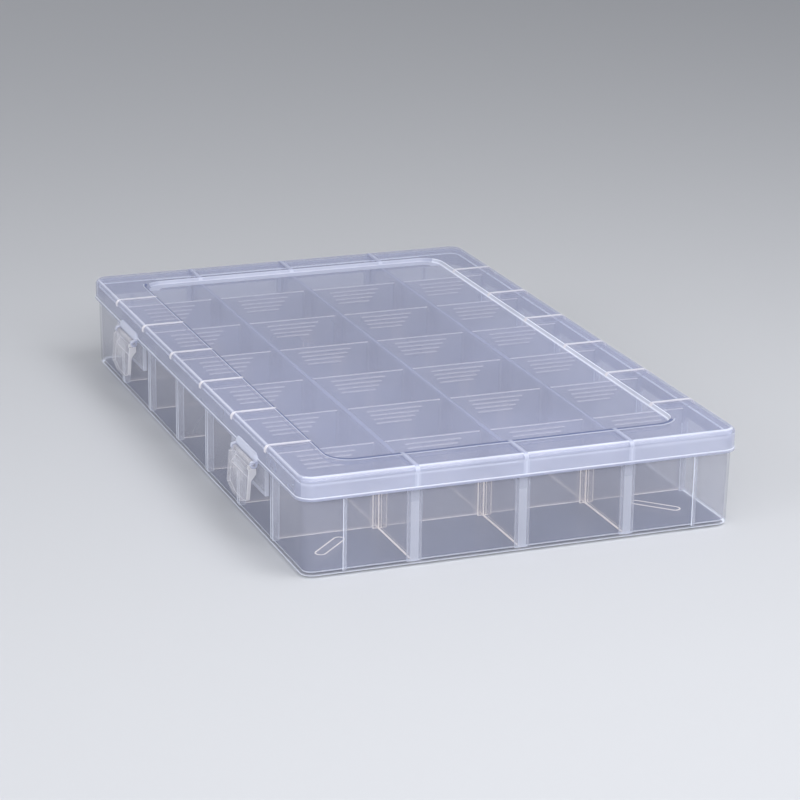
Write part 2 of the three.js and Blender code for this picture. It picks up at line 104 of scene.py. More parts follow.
forward = Vector((
    -math.cos(CAMERA_YAW) * math.cos(CAMERA_PITCH),
    math.sin(CAMERA_YAW) * math.cos(CAMERA_PITCH),
    -math.sin(CAMERA_PITCH),
))
level = Vector((math.sin(CAMERA_YAW), math.cos(CAMERA_YAW), 0))
upward = level.cross(forward)
right = math.cos(CAMERA_ROLL) * level + math.sin(CAMERA_ROLL) * upward
above = math.cos(CAMERA_ROLL) * upward - math.sin(CAMERA_ROLL) * level
camera_data = bpy.data.cameras.new("box_camera")
camera_data.sensor_width = SENSOR_WIDTH
camera_data.lens = SENSOR_WIDTH * FOCAL_SHARE
camera_data.clip_end = 50
camera = bpy.data.objects.new("box_camera", camera_data)
turned = Matrix((right, above, -forward)).transposed().to_4x4()
camera.matrix_world = Matrix.Translation(Vector(CAMERA_PLACE) * MM) @ turned
scene.collection.objects.link(camera)
scene.camera = camera
print("lens", round(camera_data.lens, 2), "mm")

# %% [markdown]
# Plain soft studio light: a pale sky all round, a wide soft lamp overhead, one lamp off the
# near end, one on the latch side, and a small one beyond the far end that draws the rounded
# edges as thin bright lines. The two beside the box have a narrow spread, like a soft box
# with a grid, so they light the box and leave no bright patch on the floor under them. The
# floor is plain and pale, and wide enough to fill the view from any side.

# %% Stage and lamps
FLOOR_REACH = 6.0
FLOOR_TINT = (0.50, 0.51, 0.535)
SKY_TINT = (0.93, 0.95, 1.0)
SKY_STRENGTH = 0.42
GRID_SPREAD = 100


def soft_lamp(name, place, size, power, spread=180):
    data = bpy.data.lights.new(name, "AREA")
    data.shape = "RECTANGLE"
    data.size, data.size_y = size
    data.energy = power
    data.spread = math.radians(spread)
    lamp = bpy.data.objects.new(name, data)
    lamp.location = place
    lamp.rotation_euler = Vector(place).to_track_quat("Z", "Y").to_euler()
    scene.collection.objects.link(lamp)


floor_paint = bpy.data.materials.new("pale_floor")
floor_paint.use_nodes = True
floor_inputs = floor_paint.node_tree.nodes["Principled BSDF"].inputs
floor_inputs["Base Color"].default_value = (*FLOOR_TINT, 1)
floor_inputs["Roughness"].default_value = 0.6
floor_inputs["Specular IOR Level"].default_value = 0.2
floor_mesh = bpy.data.meshes.new("floor")
floor_mesh.from_pydata(
    [(x * FLOOR_REACH, y * FLOOR_REACH, 0) for x, y in ((-1, -1), (1, -1), (1, 1), (-1, 1))],
    [], [(0, 1, 2, 3)])
floor_mesh.materials.append(floor_paint)
floor = bpy.data.objects.new("floor", floor_mesh)
scene.collection.objects.link(floor)

world = bpy.data.worlds.new("pale_studio")
world.use_nodes = True
world.node_tree.nodes["Background"].inputs["Color"].default_value = (*SKY_TINT, 1)
world.node_tree.nodes["Background"].inputs["Strength"].default_value = SKY_STRENGTH
scene.world = world
scene.view_settings.view_transform = "Standard"
scene.cycles.transparent_max_bounces = 48

soft_lamp("overhead", (0.5, 0.3, 1.1), (0.5, 0.8), 8)
soft_lamp("near_end", (1.04, -0.12, 0.74), (1.5, 0.45), 4.4, GRID_SPREAD)
soft_lamp("latch_side", (0.6, -1.5, 0.8), (1.0, 0.6), 2.8, GRID_SPREAD)
soft_lamp("far_strip", (-1.9, -0.2, 0.95), (0.7, 0.3), 1.5)

# %% [markdown]
# One plastic is used all over, so its look is one shader group. Milky plastic shows the light
# that scatters inside it: a broad face is thin and lets most of what is behind it through,
# while an edge is seen along its depth and looks nearly white. The meshes carry a face
# attribute called edge: 0 is a broad clear face, 1 a full edge that also gets a painted glow,
# an emission that stands in for the light scattered inside, and a value below 0 a face in
# painted shade. Some pieces also use it for painted highlights and a painted reflection. The
# group blends its colours and opacities by it. Clouding, flow lines from the mould, and fine
# specks vary them.

# %% Node helpers
def add_node(tree, kind, **settings):
    node = tree.nodes.new(kind)
    for key, value in settings.items():
        setattr(node, key, value)
    return node


def feed(tree, value, node, name):
    tree.links.new(value, node.inputs[name])


def set_values(node, values):
    for name, value in values.items():
        node.inputs[name].default_value = value


def arithmetic(tree, operation, *values):
    node = add_node(tree, "ShaderNodeMath", operation=operation)
    for number, value in enumerate(values):
        if isinstance(value, bpy.types.NodeSocket):
            tree.links.new(value, node.inputs[number])
        else:
            node.inputs[number].default_value = value
    return node.outputs[0]


def remap(tree, value, low, high, to_low, to_high):
    node = add_node(tree, "ShaderNodeMapRange")
    feed(tree, value, node, "Value")
    set_values(node, {"From Min": low, "From Max": high, "To Min": to_low, "To Max": to_high})
    return node.outputs["Result"]


def noise(tree, vector, scale, detail=2.0, stretch=None):
    if stretch:
        squeeze = add_node(tree, "ShaderNodeMapping")
        squeeze.inputs["Scale"].default_value = stretch
        feed(tree, vector, squeeze, "Vector")
        vector = squeeze.outputs["Vector"]
    node = add_node(tree, "ShaderNodeTexNoise")
    set_values(node, {"Scale": scale, "Detail": detail})
    feed(tree, vector, node, "Vector")
    return node.outputs["Fac"]


def mix_colour(tree, share, first, second):
    node = add_node(tree, "ShaderNodeMix", data_type="RGBA")
    feed(tree, share, node, "Factor")
    for value, name in ((first, "A"), (second, "B")):
        socket = next(s for s in node.inputs if s.name == name and s.type == "RGBA")
        if isinstance(value, bpy.types.NodeSocket):
            tree.links.new(value, socket)
        else:
            socket.default_value = (*value, 1)
    return next(s for s in node.outputs if s.type == "RGBA")


def new_group(name, inputs, outputs, kind="ShaderNodeTree"):
    """A node group with named sockets: the tree, what it is given, and its output node."""
    tree = bpy.data.node_groups.new(name, kind)
    for sockets, way in ((inputs, "INPUT"), (outputs, "OUTPUT")):
        for label, socket in sockets:
            tree.interface.new_socket(label, in_out=way, socket_type=f"NodeSocket{socket}")
    return tree, add_node(tree, "NodeGroupInput").outputs, add_node(tree, "NodeGroupOutput")


# %% Milky plastic group
CLOUD_SCALE = 14
FLOW_SCALE = 30
FLOW_STRETCH = (0.12, 1, 1)
SPECK_SCALE = 85
SPECK_RARE = 0.93
FINE_SCALE = 900
SCUFF_SCALE = 160
SCUFF_STRETCH = (0.25, 1, 1)
RIPPLE_SCALE = 45


def milky_plastic_group():
    tree, given, wanted = new_group(
        "Milky plastic",
        [("Place", "Vector"), ("Edge Mask", "Float"),
         ("Body Colour", "Color"), ("Edge Colour", "Color"), ("Shade Colour", "Color"),
         ("Body Opacity", "Float"), ("Edge Opacity", "Float"),
         ("Clouding", "Float"), ("Speck Strength", "Float"), ("Gloss Roughness", "Float"),
         ("Edge Glow", "Float")],
        [("Colour", "Color"), ("Opacity", "Float"), ("Roughness", "Float"), ("Height", "Float"),
         ("Glow", "Color")])
    place = given["Place"]

    def times(first, second):
        return arithmetic(tree, "MULTIPLY", first, second)

    def plus(first, second):
        return arithmetic(tree, "ADD", first, second)

    cloud = remap(tree, noise(tree, place, CLOUD_SCALE, 3), 0.3, 0.7, -1, 1)
    flow = remap(tree, noise(tree, place, FLOW_SCALE, 2, FLOW_STRETCH), 0.3, 0.7, -1, 1)
    change = times(plus(times(cloud, 0.7), times(flow, 0.3)), given["Clouding"])

    dots = add_node(tree, "ShaderNodeTexVoronoi")
    dots.inputs["Scale"].default_value = SPECK_SCALE
    feed(tree, place, dots, "Vector")
    near = remap(tree, dots.outputs["Distance"], 0.018, 0.05, 1, 0)
    tint = add_node(tree, "ShaderNodeSeparateColor")
    feed(tree, dots.outputs["Color"], tint, "Color")
    rare = arithmetic(tree, "GREATER_THAN", tint.outputs[0], SPECK_RARE)
    speck = times(times(near, rare), given["Speck Strength"])

    # Edge values above 0 also give a painted glow through the emission, and values below 0 mix in
    # the painted shade colour.
    mask = arithmetic(tree, "MINIMUM", plus(given["Edge Mask"], speck), 1.0)
    shade = arithmetic(tree, "MAXIMUM", times(mask, -1.0), 0.0)
    bright = times(arithmetic(tree, "MAXIMUM", mask, 0.0), given["Edge Glow"])
    feed(tree, mix_colour(tree, bright, (0, 0, 0), given["Edge Colour"]), wanted, "Glow")
    mask = arithmetic(tree, "ABSOLUTE", mask)
    colour = mix_colour(tree, mask, given["Body Colour"], given["Edge Colour"])
    colour = mix_colour(tree, shade, colour, given["Shade Colour"])
    lift = add_node(tree, "ShaderNodeHueSaturation")
    feed(tree, colour, lift, "Color")
    feed(tree, plus(times(change, 0.5), 1.0), lift, "Value")
    feed(tree, lift.outputs["Color"], wanted, "Colour")

    span = arithmetic(tree, "SUBTRACT", given["Edge Opacity"], given["Body Opacity"])
    opacity = arithmetic(tree, "MULTIPLY_ADD", mask, span, given["Body Opacity"])
    limit = add_node(tree, "ShaderNodeClamp")
    feed(tree, times(opacity, plus(change, 1.0)), limit, "Value")
    feed(tree, limit.outputs["Result"], wanted, "Opacity")

    fine = noise(tree, place, FINE_SCALE, 3)
    worn = remap(tree, noise(tree, place, SCUFF_SCALE, 2, SCUFF_STRETCH), 0.52, 0.72, 0, 0.07)
    feed(tree, plus(plus(given["Gloss Roughness"], worn), times(fine, 0.05)), wanted, "Roughness")
    ripple = noise(tree, place, RIPPLE_SCALE, 1)
    feed(tree, plus(times(ripple, 0.5), times(flow, 0.3)), wanted, "Height")
    return tree


milky_plastic = milky_plastic_group()
print("group", milky_plastic.name, len(milky_plastic.nodes), "nodes")

# %% [markdown]
# Each finish places the group with its own colours. The group can't hold the view-dependent
# part, because a sheet seen nearly edge on looks more solid: that comes from Layer Weight in
# the material itself, which raises the opacity at glancing angles.

# %% Plastic finishes
# Colours of painted shade: the recess rim line on the lid, and the face of the tray floor.
RECESS_SHADE = (0.09, 0.115, 0.25)
FLOOR_SHADE_COLOUR = (0.095, 0.12, 0.225)


def plastic_finish(name, body, edge, body_opacity, edge_opacity, glancing=0.25,
                   clouding=0.12, specks=0.5, roughness=0.16, glow=0.22,
                   shade=RECESS_SHADE):
    made = bpy.data.materials.new(name)
    made.use_nodes = True
    tree = made.node_tree
    shader = tree.nodes["Principled BSDF"]
    place = add_node(tree, "ShaderNodeTexCoord").outputs["Object"]
    mask = add_node(tree, "ShaderNodeAttribute", attribute_type="GEOMETRY", attribute_name="edge")
    group = add_node(tree, "ShaderNodeGroup", node_tree=milky_plastic)
    feed(tree, place, group, "Place")
    feed(tree, mask.outputs["Fac"], group, "Edge Mask")
    set_values(group, {
        "Body Colour": (*body, 1), "Edge Colour": (*edge, 1), "Shade Colour": (*shade, 1),
        "Body Opacity": body_opacity, "Edge Opacity": edge_opacity, "Clouding": clouding,
        "Speck Strength": specks, "Gloss Roughness": roughness, "Edge Glow": glow})
    feed(tree, group.outputs["Colour"], shader, "Base Color")
    feed(tree, group.outputs["Roughness"], shader, "Roughness")
    feed(tree, group.outputs["Glow"], shader, "Emission Color")
    weight = add_node(tree, "ShaderNodeLayerWeight")
    weight.inputs["Blend"].default_value = 0.5
    steep = arithmetic(tree, "POWER", weight.outputs["Facing"], 4.0)
    raised = arithmetic(tree, "MULTIPLY_ADD", steep, glancing, group.outputs["Opacity"])
    feed(tree, arithmetic(tree, "MINIMUM", raised, 1.0), shader, "Alpha")
    bump = add_node(tree, "ShaderNodeBump")
    set_values(bump, {"Strength": 0.08, "Distance": 0.0004})
    feed(tree, group.outputs["Height"], bump, "Height")
    feed(tree, bump.outputs["Normal"], shader, "Normal")
    set_values(shader, {"Emission Strength": 1.0, "IOR": 1.49})
    return made


lid_plastic = plastic_finish(
    "lid_plastic", (0.36, 0.39, 0.56), (0.84, 0.87, 0.96), 0.34, 0.85)
rib_plastic = plastic_finish(
    "lid_rib_plastic", (0.40, 0.46, 0.62), (0.88, 0.83, 0.84), 0.10, 0.85, glow=0.2)
# The tray's stronger painted glow keeps the rounding at its foot, which faces down, light.
tray_plastic = plastic_finish(
    "tray_plastic", (0.43, 0.445, 0.54), (0.82, 0.86, 0.96), 0.205, 0.85, glow=0.38,
    shade=FLOOR_SHADE_COLOUR)
fitting_plastic = plastic_finish(
    "tray_fitting_plastic", (0.50, 0.49, 0.55), (0.96, 0.88, 0.82), 0.20, 0.90, glow=0.36)
divider_plastic = plastic_finish(
    "divider_plastic", (0.54, 0.545, 0.61), (0.94, 0.88, 0.87), 0.42, 0.90, glow=0.36)
latch_plastic = plastic_finish(
    "latch_plastic", (0.60, 0.60, 0.66), (0.92, 0.90, 0.92), 0.18, 0.60, glow=0.15)

# %% [markdown]
# Helpers for thin moulded pieces. A bmesh holds one piece while it is made, and a float layer
# on its faces becomes the edge attribute. Prisms are extruded outlines whose corners are
# rounded by a bevel: their two broad sides stay clear, and all the narrow faces count as edges.

# %% Piece helpers
SIDES = ((-1, "left"), (1, "right"))
LONG_SIDES = ((-1, "front"), (1, "back"))
CORNERS = [(x, y) for x in (-1, 1) for y in (-1, 1)]


def start_piece():
    made = bmesh.new()
    return made, made.faces.layers.float.new("edge")


def place_piece(mesh, name, body, replaces=()):
    piece = bpy.data.objects.new(name, mesh)
    scene.collection.objects.link(piece)
    shading = piece.modifiers.new("even_shading", "WEIGHTED_NORMAL")
    shading.weight = 100
    shading.keep_sharp = True
    if body:
        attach(piece, body)
        for node in replaces:
            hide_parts(node)
    return piece


def finish_piece(made, name, material, body, replaces=()):
    bmesh.ops.recalc_face_normals(made, faces=made.faces)
    mesh = bpy.data.meshes.new(name)
    for vertex in made.verts:
        vertex.co *= MM
    for face in made.faces:
        face.smooth = True
    made.to_mesh(mesh)
    made.free()
    mesh.materials.append(material)
    return place_piece(mesh, name, body, replaces)


def loose_piece(made, material, name="unit"):
    """A piece that a later step copies or cuts: it rides no body and has no modifier."""
    piece = finish_piece(made, name, material, None)
    piece.modifiers.clear()
    return piece


def evaluated_mesh(piece, modifier):
    """The mesh of a piece after its modifier, which is then removed."""
    graph = bpy.context.evaluated_depsgraph_get()
    mesh = bpy.data.meshes.new_from_object(piece.evaluated_get(graph), depsgraph=graph)
    piece.modifiers.remove(modifier)
    return mesh


def join_rings(made, layer, lower, upper, edge):
    """Four-sided faces all the way round between two rings of vertices."""
    faces = []
    for i in range(len(lower)):
        after = (i + 1) % len(lower)
        faces.append(made.faces.new((lower[i], lower[after], upper[after], upper[i])))
        faces[-1][layer] = edge
    return faces


def extrude_outline(made, layer, outline, to_space, start, stop, bevel=0.25,
                    broad=0.0, narrow=1.0, rounding=2):
    low = [made.verts.new(to_space(u, v, start)) for u, v in outline]
    high = [made.verts.new(to_space(u, v, stop)) for u, v in outline]
    faces = join_rings(made, layer, low, high, narrow)
    for ring in (low[::-1], high):
        faces.append(made.faces.new(ring))
        faces[-1][layer] = broad
    bmesh.ops.recalc_face_normals(made, faces=faces)
    if bevel:
        edges = {edge for face in faces for edge in face.edges
                 if edge.calc_face_angle(0) > 0.5}
        grown = bmesh.ops.bevel(
            made, geom=list(edges), offset=bevel, offset_type="OFFSET", segments=rounding,
            profile=0.5, affect="EDGES", clamp_overlap=True)
        for face in grown["faces"]:
            face[layer] = narrow


def along_x(u, v, w):
    return (w, u, v)


def along_y(u, v, w):
    return (u, w, v)


def along_z(u, v, w):
    return (u, v, w)


def box_outline(u0, u1, v0, v1):
    return [(u0, v0), (u1, v0), (u1, v1), (u0, v1)]


def sided(outline, side):
    """An outline drawn on the plus side, mirrored where side is -1."""
    return [(side * u, v) for u, v in outline]


def arc_outline(centre, radius, angles):
    """Points on an arc, by angles that start straight down."""
    return [(centre[0] + radius * math.sin(a), centre[1] - radius * math.cos(a)) for a in angles]


def round_outline(centre, radius, count):
    angles = [2 * math.pi * i / count for i in range(count)]
    return [(centre[0] + radius * math.cos(a), centre[1] + radius * math.sin(a)) for a in angles]

# %% [markdown]
# The lid and the tray are shells whose every level is a rounded rectangle. Drawing one closed
# path of levels, up the inside and down the outside, and skinning them gives a watertight wall
# of even thickness in one go. A boolean of two solids would work too, but leaves ragged corners.

# %% Loft through rounded rectangles
CORNER_STEPS = 10


def level_points(half_x, half_y, radius, z):
    points = []
    for quarter, (sx, sy) in enumerate(((1, 1), (-1, 1), (-1, -1), (1, -1))):
        for i in range(CORNER_STEPS + 1):
            angle = (quarter + i / CORNER_STEPS) * math.pi / 2
            points.append((sx * (half_x - radius) + radius * math.cos(angle),
                           sy * (half_y - radius) + radius * math.sin(angle), z))
    return points


def skin_levels(made, layer, levels, last_cap=0.0):
    """Levels are (half_x, half_y, radius, z, edge of the band that starts there)."""
    rings = [[made.verts.new(p) for p in level_points(*item[:4])] for item in levels]
    for lower, upper, item in zip(rings, rings[1:], levels):
        join_rings(made, layer, lower, upper, item[4])
    made.faces.new(rings[0][::-1])
    made.faces.new(rings[-1])[layer] = last_cap


def quarter_turn(steps):
    return [i / steps * math.pi / 2 for i in range(steps + 1)]

# %% [markdown]
# The lid is a sheet with a sunk panel and a skirt that ends in a small bead. Its outer corner
# is a rounded edge of 2.5 mm with a bright line along it, partly a lamp highlight and partly a
# painted highlight in the edge values of its eight bands. The recess rim carries painted light
# that differs by side: a painted shade line at the near and left edges, and a painted
# highlight on the far and right slopes. The far slope is also mirrored in the glossy panel at
# its foot, and a strip of the panel there is a little lighter as a painted reflection of it.

# %% Lid shell
# Edge values for the bands of the outer rounding, from the skirt up to the border: the two
# lightest near the top are a painted highlight line.
ROUNDING_HIGHLIGHT_MASKS = (0.2, 0.12, 0.08, 0.12, 0.3, 0.6, 0.6, 0.2, 0.0)
MIRROR_STRIP = 6.0
RECESS_ZONE = (156.0, 88.0)
END_ZONE = 150.0
LEFT_ZONE = -80.0
STRIP_ZONE = -140.0
SIDE_ZONE = (170.0, 103.0)


def inset_level(inset, z, edge=0.0):
    return (LID_HALF[0] - inset, LID_HALF[1] - inset, LID_CORNER - inset, z, edge)


def recess_level(inset, z, edge=0.0, extra=0.0):
    return (RECESS_RIM[0] - inset + extra, RECESS_RIM[1] - inset, RECESS_CORNER - inset, z, edge)


def lid_levels():
    panel_top = LID_TOP - RECESS_DEPTH
    under = LID_TOP - LID_SHEET
    inside = SKIRT_OUT + SKIRT_WALL
    inner_round = LID_FILLET - LID_SHEET
    slope_under = RECESS_SLOPE - LID_SHEET
    levels = [
        recess_level(slope_under + 0.3, panel_top - LID_SHEET, 0.3),
        recess_level(slope_under, panel_top - LID_SHEET + 0.2),
        recess_level(-LID_SHEET, under - 0.25),
        recess_level(-LID_SHEET - 0.4, under),
    ]
    for turn, edge in zip(quarter_turn(4), (0.35, 0.35, 0.35, 0.35, 0.0)):
        levels.append(inset_level(inside + inner_round * (1 - math.sin(turn)),
                                  under - inner_round * (1 - math.cos(turn)), edge))
    levels += [
        inset_level(inside, LID_RIM + 0.25),
        inset_level(inside - 0.25, LID_RIM, 0.2),
        inset_level(SKIRT_OUT, LID_RIM, 0.3),
        inset_level(0.08, LID_RIM + 0.25, 0.15),
        inset_level(0.0, LID_RIM + 0.6, 0.15),
        inset_level(0.0, LID_RIM + BEAD_HEIGHT - 0.6, 0.35),
        inset_level(0.12, LID_RIM + BEAD_HEIGHT - 0.25, 0.7),
        inset_level(SKIRT_OUT, LID_RIM + BEAD_HEIGHT, 0.27),
    ]
    for turn, edge in zip(quarter_turn(len(ROUNDING_HIGHLIGHT_MASKS) - 1), ROUNDING_HIGHLIGHT_MASKS):
        levels.append(inset_level(SKIRT_OUT + LID_FILLET * (1 - math.cos(turn)),
                                  LID_TOP - LID_FILLET * (1 - math.sin(turn)), edge))
    # The recess rim: a light line and a painted shade line, then painted highlight bands down the
    # slope and the painted reflection strip on the panel. Each is kept only on its own sides
    # further on.
    levels += [
        recess_level(-1.3, LID_TOP, 0.35, 2.2),
        recess_level(-0.8, LID_TOP, -1.0, 1.5),
        recess_level(-0.08, LID_TOP - 0.08, 0.8),
        recess_level(0.1, LID_TOP - 0.4, 0.45),
        recess_level(RECESS_SLOPE - 0.25, panel_top + 0.6, 0.7),
        recess_level(RECESS_SLOPE + 0.05, panel_top + 0.1, 0.4),
        recess_level(RECESS_SLOPE + 0.5, panel_top, 0.3),
        recess_level(RECESS_SLOPE + MIRROR_STRIP, panel_top),
    ]
    return levels


def painted_side_light(made, layer):
    """The edge values that differ from side to side, all painted light: a light line and a painted
    shade line at the near and left recess rim, a painted highlight on the far and right recess
    slope, halved at the far end, a painted reflection strip on the panel at the far end, and a
    dimmer painted highlight on the outer edge of the long sides.
    """
    for face in made.faces:
        middle = face.calc_center_median()
        if middle.z < LID_RIM + BEAD_HEIGHT + 0.2:
            continue
        near_or_left = middle.x > END_ZONE or (middle.y < LEFT_ZONE and middle.x > -END_ZONE)
        if abs(middle.x) < RECESS_ZONE[0] and abs(middle.y) < RECESS_ZONE[1]:
            if middle.z > LID_TOP - 0.1:
                cleared = not near_or_left
            elif middle.z < LID_TOP - RECESS_DEPTH + 0.01:
                cleared = middle.x > STRIP_ZONE
            else:
                cleared = near_or_left
                if middle.x < -END_ZONE:
                    face[layer] *= 0.5
            if cleared:
                face[layer] = 0.0
        elif abs(middle.x) < SIDE_ZONE[0] and abs(middle.y) > SIDE_ZONE[1]:
            # The outer edge of the long sides keeps a dimmer painted highlight.
            face[layer] *= 0.55


made, layer = start_piece()
skin_levels(made, layer, lid_levels())
painted_side_light(made, layer)
lid_shell = finish_piece(made, "lid_shell", lid_plastic, "lid", ["lid"])
print("lid shell faces", len(lid_shell.data.polygons))

# %% [markdown]
# Thin ribs hang under the lid over every wall of the tray, so they sit on a regular grid. A
# small Geometry Nodes tree copies one unit piece onto rows and columns of points. An array
# modifier would do for a single row, but the tree takes both ways at once, and it later sets
# out the partitions, the slot ribs and the wall bands of the tray.

# %% Copies on a grid
def vector_along(tree, axis, value):
    node = add_node(tree, "ShaderNodeCombineXYZ")
    feed(tree, value, node, axis)
    return node.outputs["Vector"]


def instances(tree, points, unit, scale=None):
    node = add_node(tree, "GeometryNodeInstanceOnPoints")
    feed(tree, points, node, "Points")
    feed(tree, unit, node, "Instance")
    if scale:
        feed(tree, scale, node, "Scale")
    return node.outputs["Instances"]


def finish_tree(tree, copies, given, wanted):
    """The end of each tree: the copies made real, with their material set."""
    real = add_node(tree, "GeometryNodeRealizeInstances")
    feed(tree, copies, real, "Geometry")
    paint = add_node(tree, "GeometryNodeSetMaterial")
    feed(tree, real.outputs["Geometry"], paint, "Geometry")
    feed(tree, given["Material"], paint, "Material")
    feed(tree, paint.outputs["Geometry"], wanted, "Geometry")


def grid_tree():
    tree, given, wanted = new_group(
        "Copies on a grid",
        [("Geometry", "Geometry"), ("Copies Along X", "Int"), ("Copies Along Y", "Int"),
         ("Pitch X", "Float"), ("Pitch Y", "Float"), ("Material", "Material")],
        [("Geometry", "Geometry")], "GeometryNodeTree")
    lines = []
    for axis in ("X", "Y"):
        count = given[f"Copies Along {axis}"]
        pitch = given[f"Pitch {axis}"]
        line = add_node(tree, "GeometryNodeMeshLine", mode="OFFSET")
        feed(tree, count, line, "Count")
        feed(tree, vector_along(tree, axis, pitch), line, "Offset")
        back = arithmetic(tree, "MULTIPLY", arithmetic(tree, "SUBTRACT", count, 1.0), -0.5)
        begin = arithmetic(tree, "MULTIPLY", back, pitch)
        feed(tree, vector_along(tree, axis, begin), line, "Start Location")
        lines.append(line.outputs["Mesh"])
    points = add_node(tree, "GeometryNodeRealizeInstances")
    feed(tree, instances(tree, *lines), points, "Geometry")
    copies = instances(tree, points.outputs["Geometry"], given["Geometry"])
    finish_tree(tree, copies, given, wanted)
    return tree


def run_nodes(piece, tree, values):
    modifier = piece.modifiers.new("nodes", "NODES")
    modifier.node_group = tree
    for item in tree.interface.items_tree:
        if item.item_type == "SOCKET" and item.in_out == "INPUT" and item.name in values:
            modifier[item.identifier] = values[item.name]
    mesh = evaluated_mesh(piece, modifier)
    bpy.data.objects.remove(piece)
    return mesh


def grid_copies(made, name, count_x, pitch_x, count_y, pitch_y, material, body):
    mesh = run_nodes(loose_piece(made, material), copies_on_grid, {
        "Copies Along X": count_x, "Copies Along Y": count_y,
        "Pitch X": pitch_x * MM, "Pitch Y": pitch_y * MM, "Material": material})
    return place_piece(mesh, name, body)


copies_on_grid = grid_tree()
print("group", copies_on_grid.name, len(copies_on_grid.nodes), "nodes")

# %% [markdown]
# A rib is a plate 1 mm thick whose upper outline follows the underside of the lid. Moulded
# ribs spread a little where they meet the sheet, so each long rib has a wide, faint root
# under the panel, and every rib shows on the lid's border as a soft raised line. The long
# ones carry on down the skirt, fainter.

# %% Lid ribs
RIB_HALF = 0.5
ROOT_HALF = 1.2
ROOT_INSET = 2.5
TRACE_FALL = 0.9
PANEL_UNDER = LID_TOP - RECESS_DEPTH - LID_SHEET + OVERLAP


def rib_outline(axis):
    """One side of a rib: out to the skirt, up its inside, and back along the sheet."""
    reach = RECESS_RIM[axis] + LID_SHEET
    end = LID_HALF[axis] - SKIRT_OUT - SKIRT_WALL + 0.1
    under = LID_TOP - LID_SHEET + OVERLAP
    curve = LID_FILLET - LID_SHEET + OVERLAP
    outline = [(reach - RECESS_SLOPE, RIB_FOOT), (end - 0.1, RIB_FOOT), (end, RIB_FOOT + 0.2)]
    for turn in quarter_turn(4):
        outline.append((end - curve * (1 - math.cos(turn)), under - curve * (1 - math.sin(turn))))
    return outline + [(reach, under), (reach - RECESS_SLOPE, PANEL_UNDER)]


def trace_outline(axis, side, rise):
    """A raised line on top of the lid: up the recess slope, across, and over the outer edge."""
    rim = RECESS_RIM[axis]
    end = LID_HALF[axis] - SKIRT_OUT
    foot = LID_TOP - RECESS_DEPTH + 0.35
    upper = [(rim - 0.92, foot), (rim - 0.05, LID_TOP - 0.1), (rim + 0.2, LID_TOP + rise)]
    lower = [(rim - 0.5, foot - 0.2), (rim + 0.3, LID_TOP - 0.35), (rim + 0.4, LID_TOP - 0.3)]
    for way, drop in ((upper, -rise), (lower, 0.3)):
        radius = LID_FILLET - drop
        for turn in reversed(quarter_turn(6)):
            way.append((end - LID_FILLET + radius * math.cos(turn),
                        LID_TOP - LID_FILLET + radius * math.sin(turn)))
        way.append((end - drop, LID_TOP - LID_FILLET - TRACE_FALL))
    return sided(upper + lower[::-1], side)


def rib_plate(rib, traces, to_space, narrow, hook_highlight):
    """A rib under the lid, and over it the trace: a wide faint line with a narrow bright one,
    lighter at both ends where it turns down into the recess and over the outer rounding, as a
    painted highlight.
    """
    made, layer = start_piece()
    extrude_outline(made, layer, rib, to_space, -RIB_HALF, RIB_HALF, 0.12, 0.0, narrow, 1)
    plain = set(made.faces)
    for outline, half, bright in traces:
        extrude_outline(made, layer, outline, to_space, -half, half, 0.08, bright, bright, 1)
    for face in made.faces:
        if face not in plain and face.calc_center_median().z < LID_TOP - 0.25:
            face[layer] = max(face[layer], hook_highlight)
    return made, layer


for side, label in LONG_SIDES:
    traces = [(trace_outline(1, side, rise), half, bright)
              for rise, half, bright in ((0.05, 1.3, 0.22), (0.09, 0.62, 0.66))]
    made, layer = rib_plate(sided(rib_outline(1), side), traces, along_x, 0.5, 0.7)
    grid_copies(made, f"lid_cross_ribs_{label}", ROW_LINES, ROW_PITCH, 1, 0, rib_plastic, "lid")

half_rib = rib_outline(0)[1:]
traces = [(trace_outline(0, side, rise), half, bright) for side in (-1, 1)
          for rise, half, bright in ((0.05, 1.1, 0.2), (0.08, 0.3, 0.3))]
made, layer = rib_plate(half_rib + sided(half_rib[::-1], -1), traces, along_y, 0.32, 0.35)
root_end = RECESS_RIM[0] + LID_SHEET - ROOT_INSET
root_line = box_outline(-root_end, root_end, PANEL_UNDER - 0.12, PANEL_UNDER + 0.02)
extrude_outline(made, layer, root_line, along_y, -ROOT_HALF, ROOT_HALF, 0.0, 0.14, 0.14)
skirt_end = LID_HALF[0] - SKIRT_OUT
for side in (-1, 1):
    for half, rise, bright in ((1.5, 0.03, 0.33), (0.5, 0.06, 0.42)):
        line = box_outline(skirt_end - 0.1, skirt_end + rise,
                           LID_RIM + BEAD_HEIGHT + 0.1, LID_TOP - LID_FILLET - 0.2)
        extrude_outline(made, layer, sided(line, side), along_y, -half, half, 0.0, bright, bright)
grid_copies(made, "lid_long_ribs", 1, 0, COLUMN_LINES, COLUMN_PITCH, lid_plastic, "lid")
print("lid ribs", 2 * ROW_LINES, "short and", COLUMN_LINES, "long")

# %% [markdown]
# Each latch hangs under a rounded hood on the lid's skirt, between two lugs. The hood is a
# quarter of a long capsule, so it is skinned from slices across X whose size follows a circle
# at the ends.

# %% Latch hoods and lugs
HOOD_HALF = 15.5
HOOD_OUT = 1.55
HOOD_RISE = 3.2
HOOD_LIP = 0.4
HOOD_STEPS = 7
LEAST_HOOD_SHARE = 0.06
SKIRT_FACE = LID_HALF[1] - SKIRT_OUT
LATCH_AXIS = (109.6, 35.7)
LUG_MIDDLE = 14.4
LUG_THICK = 2.2
LUG_RADIUS = 1.7


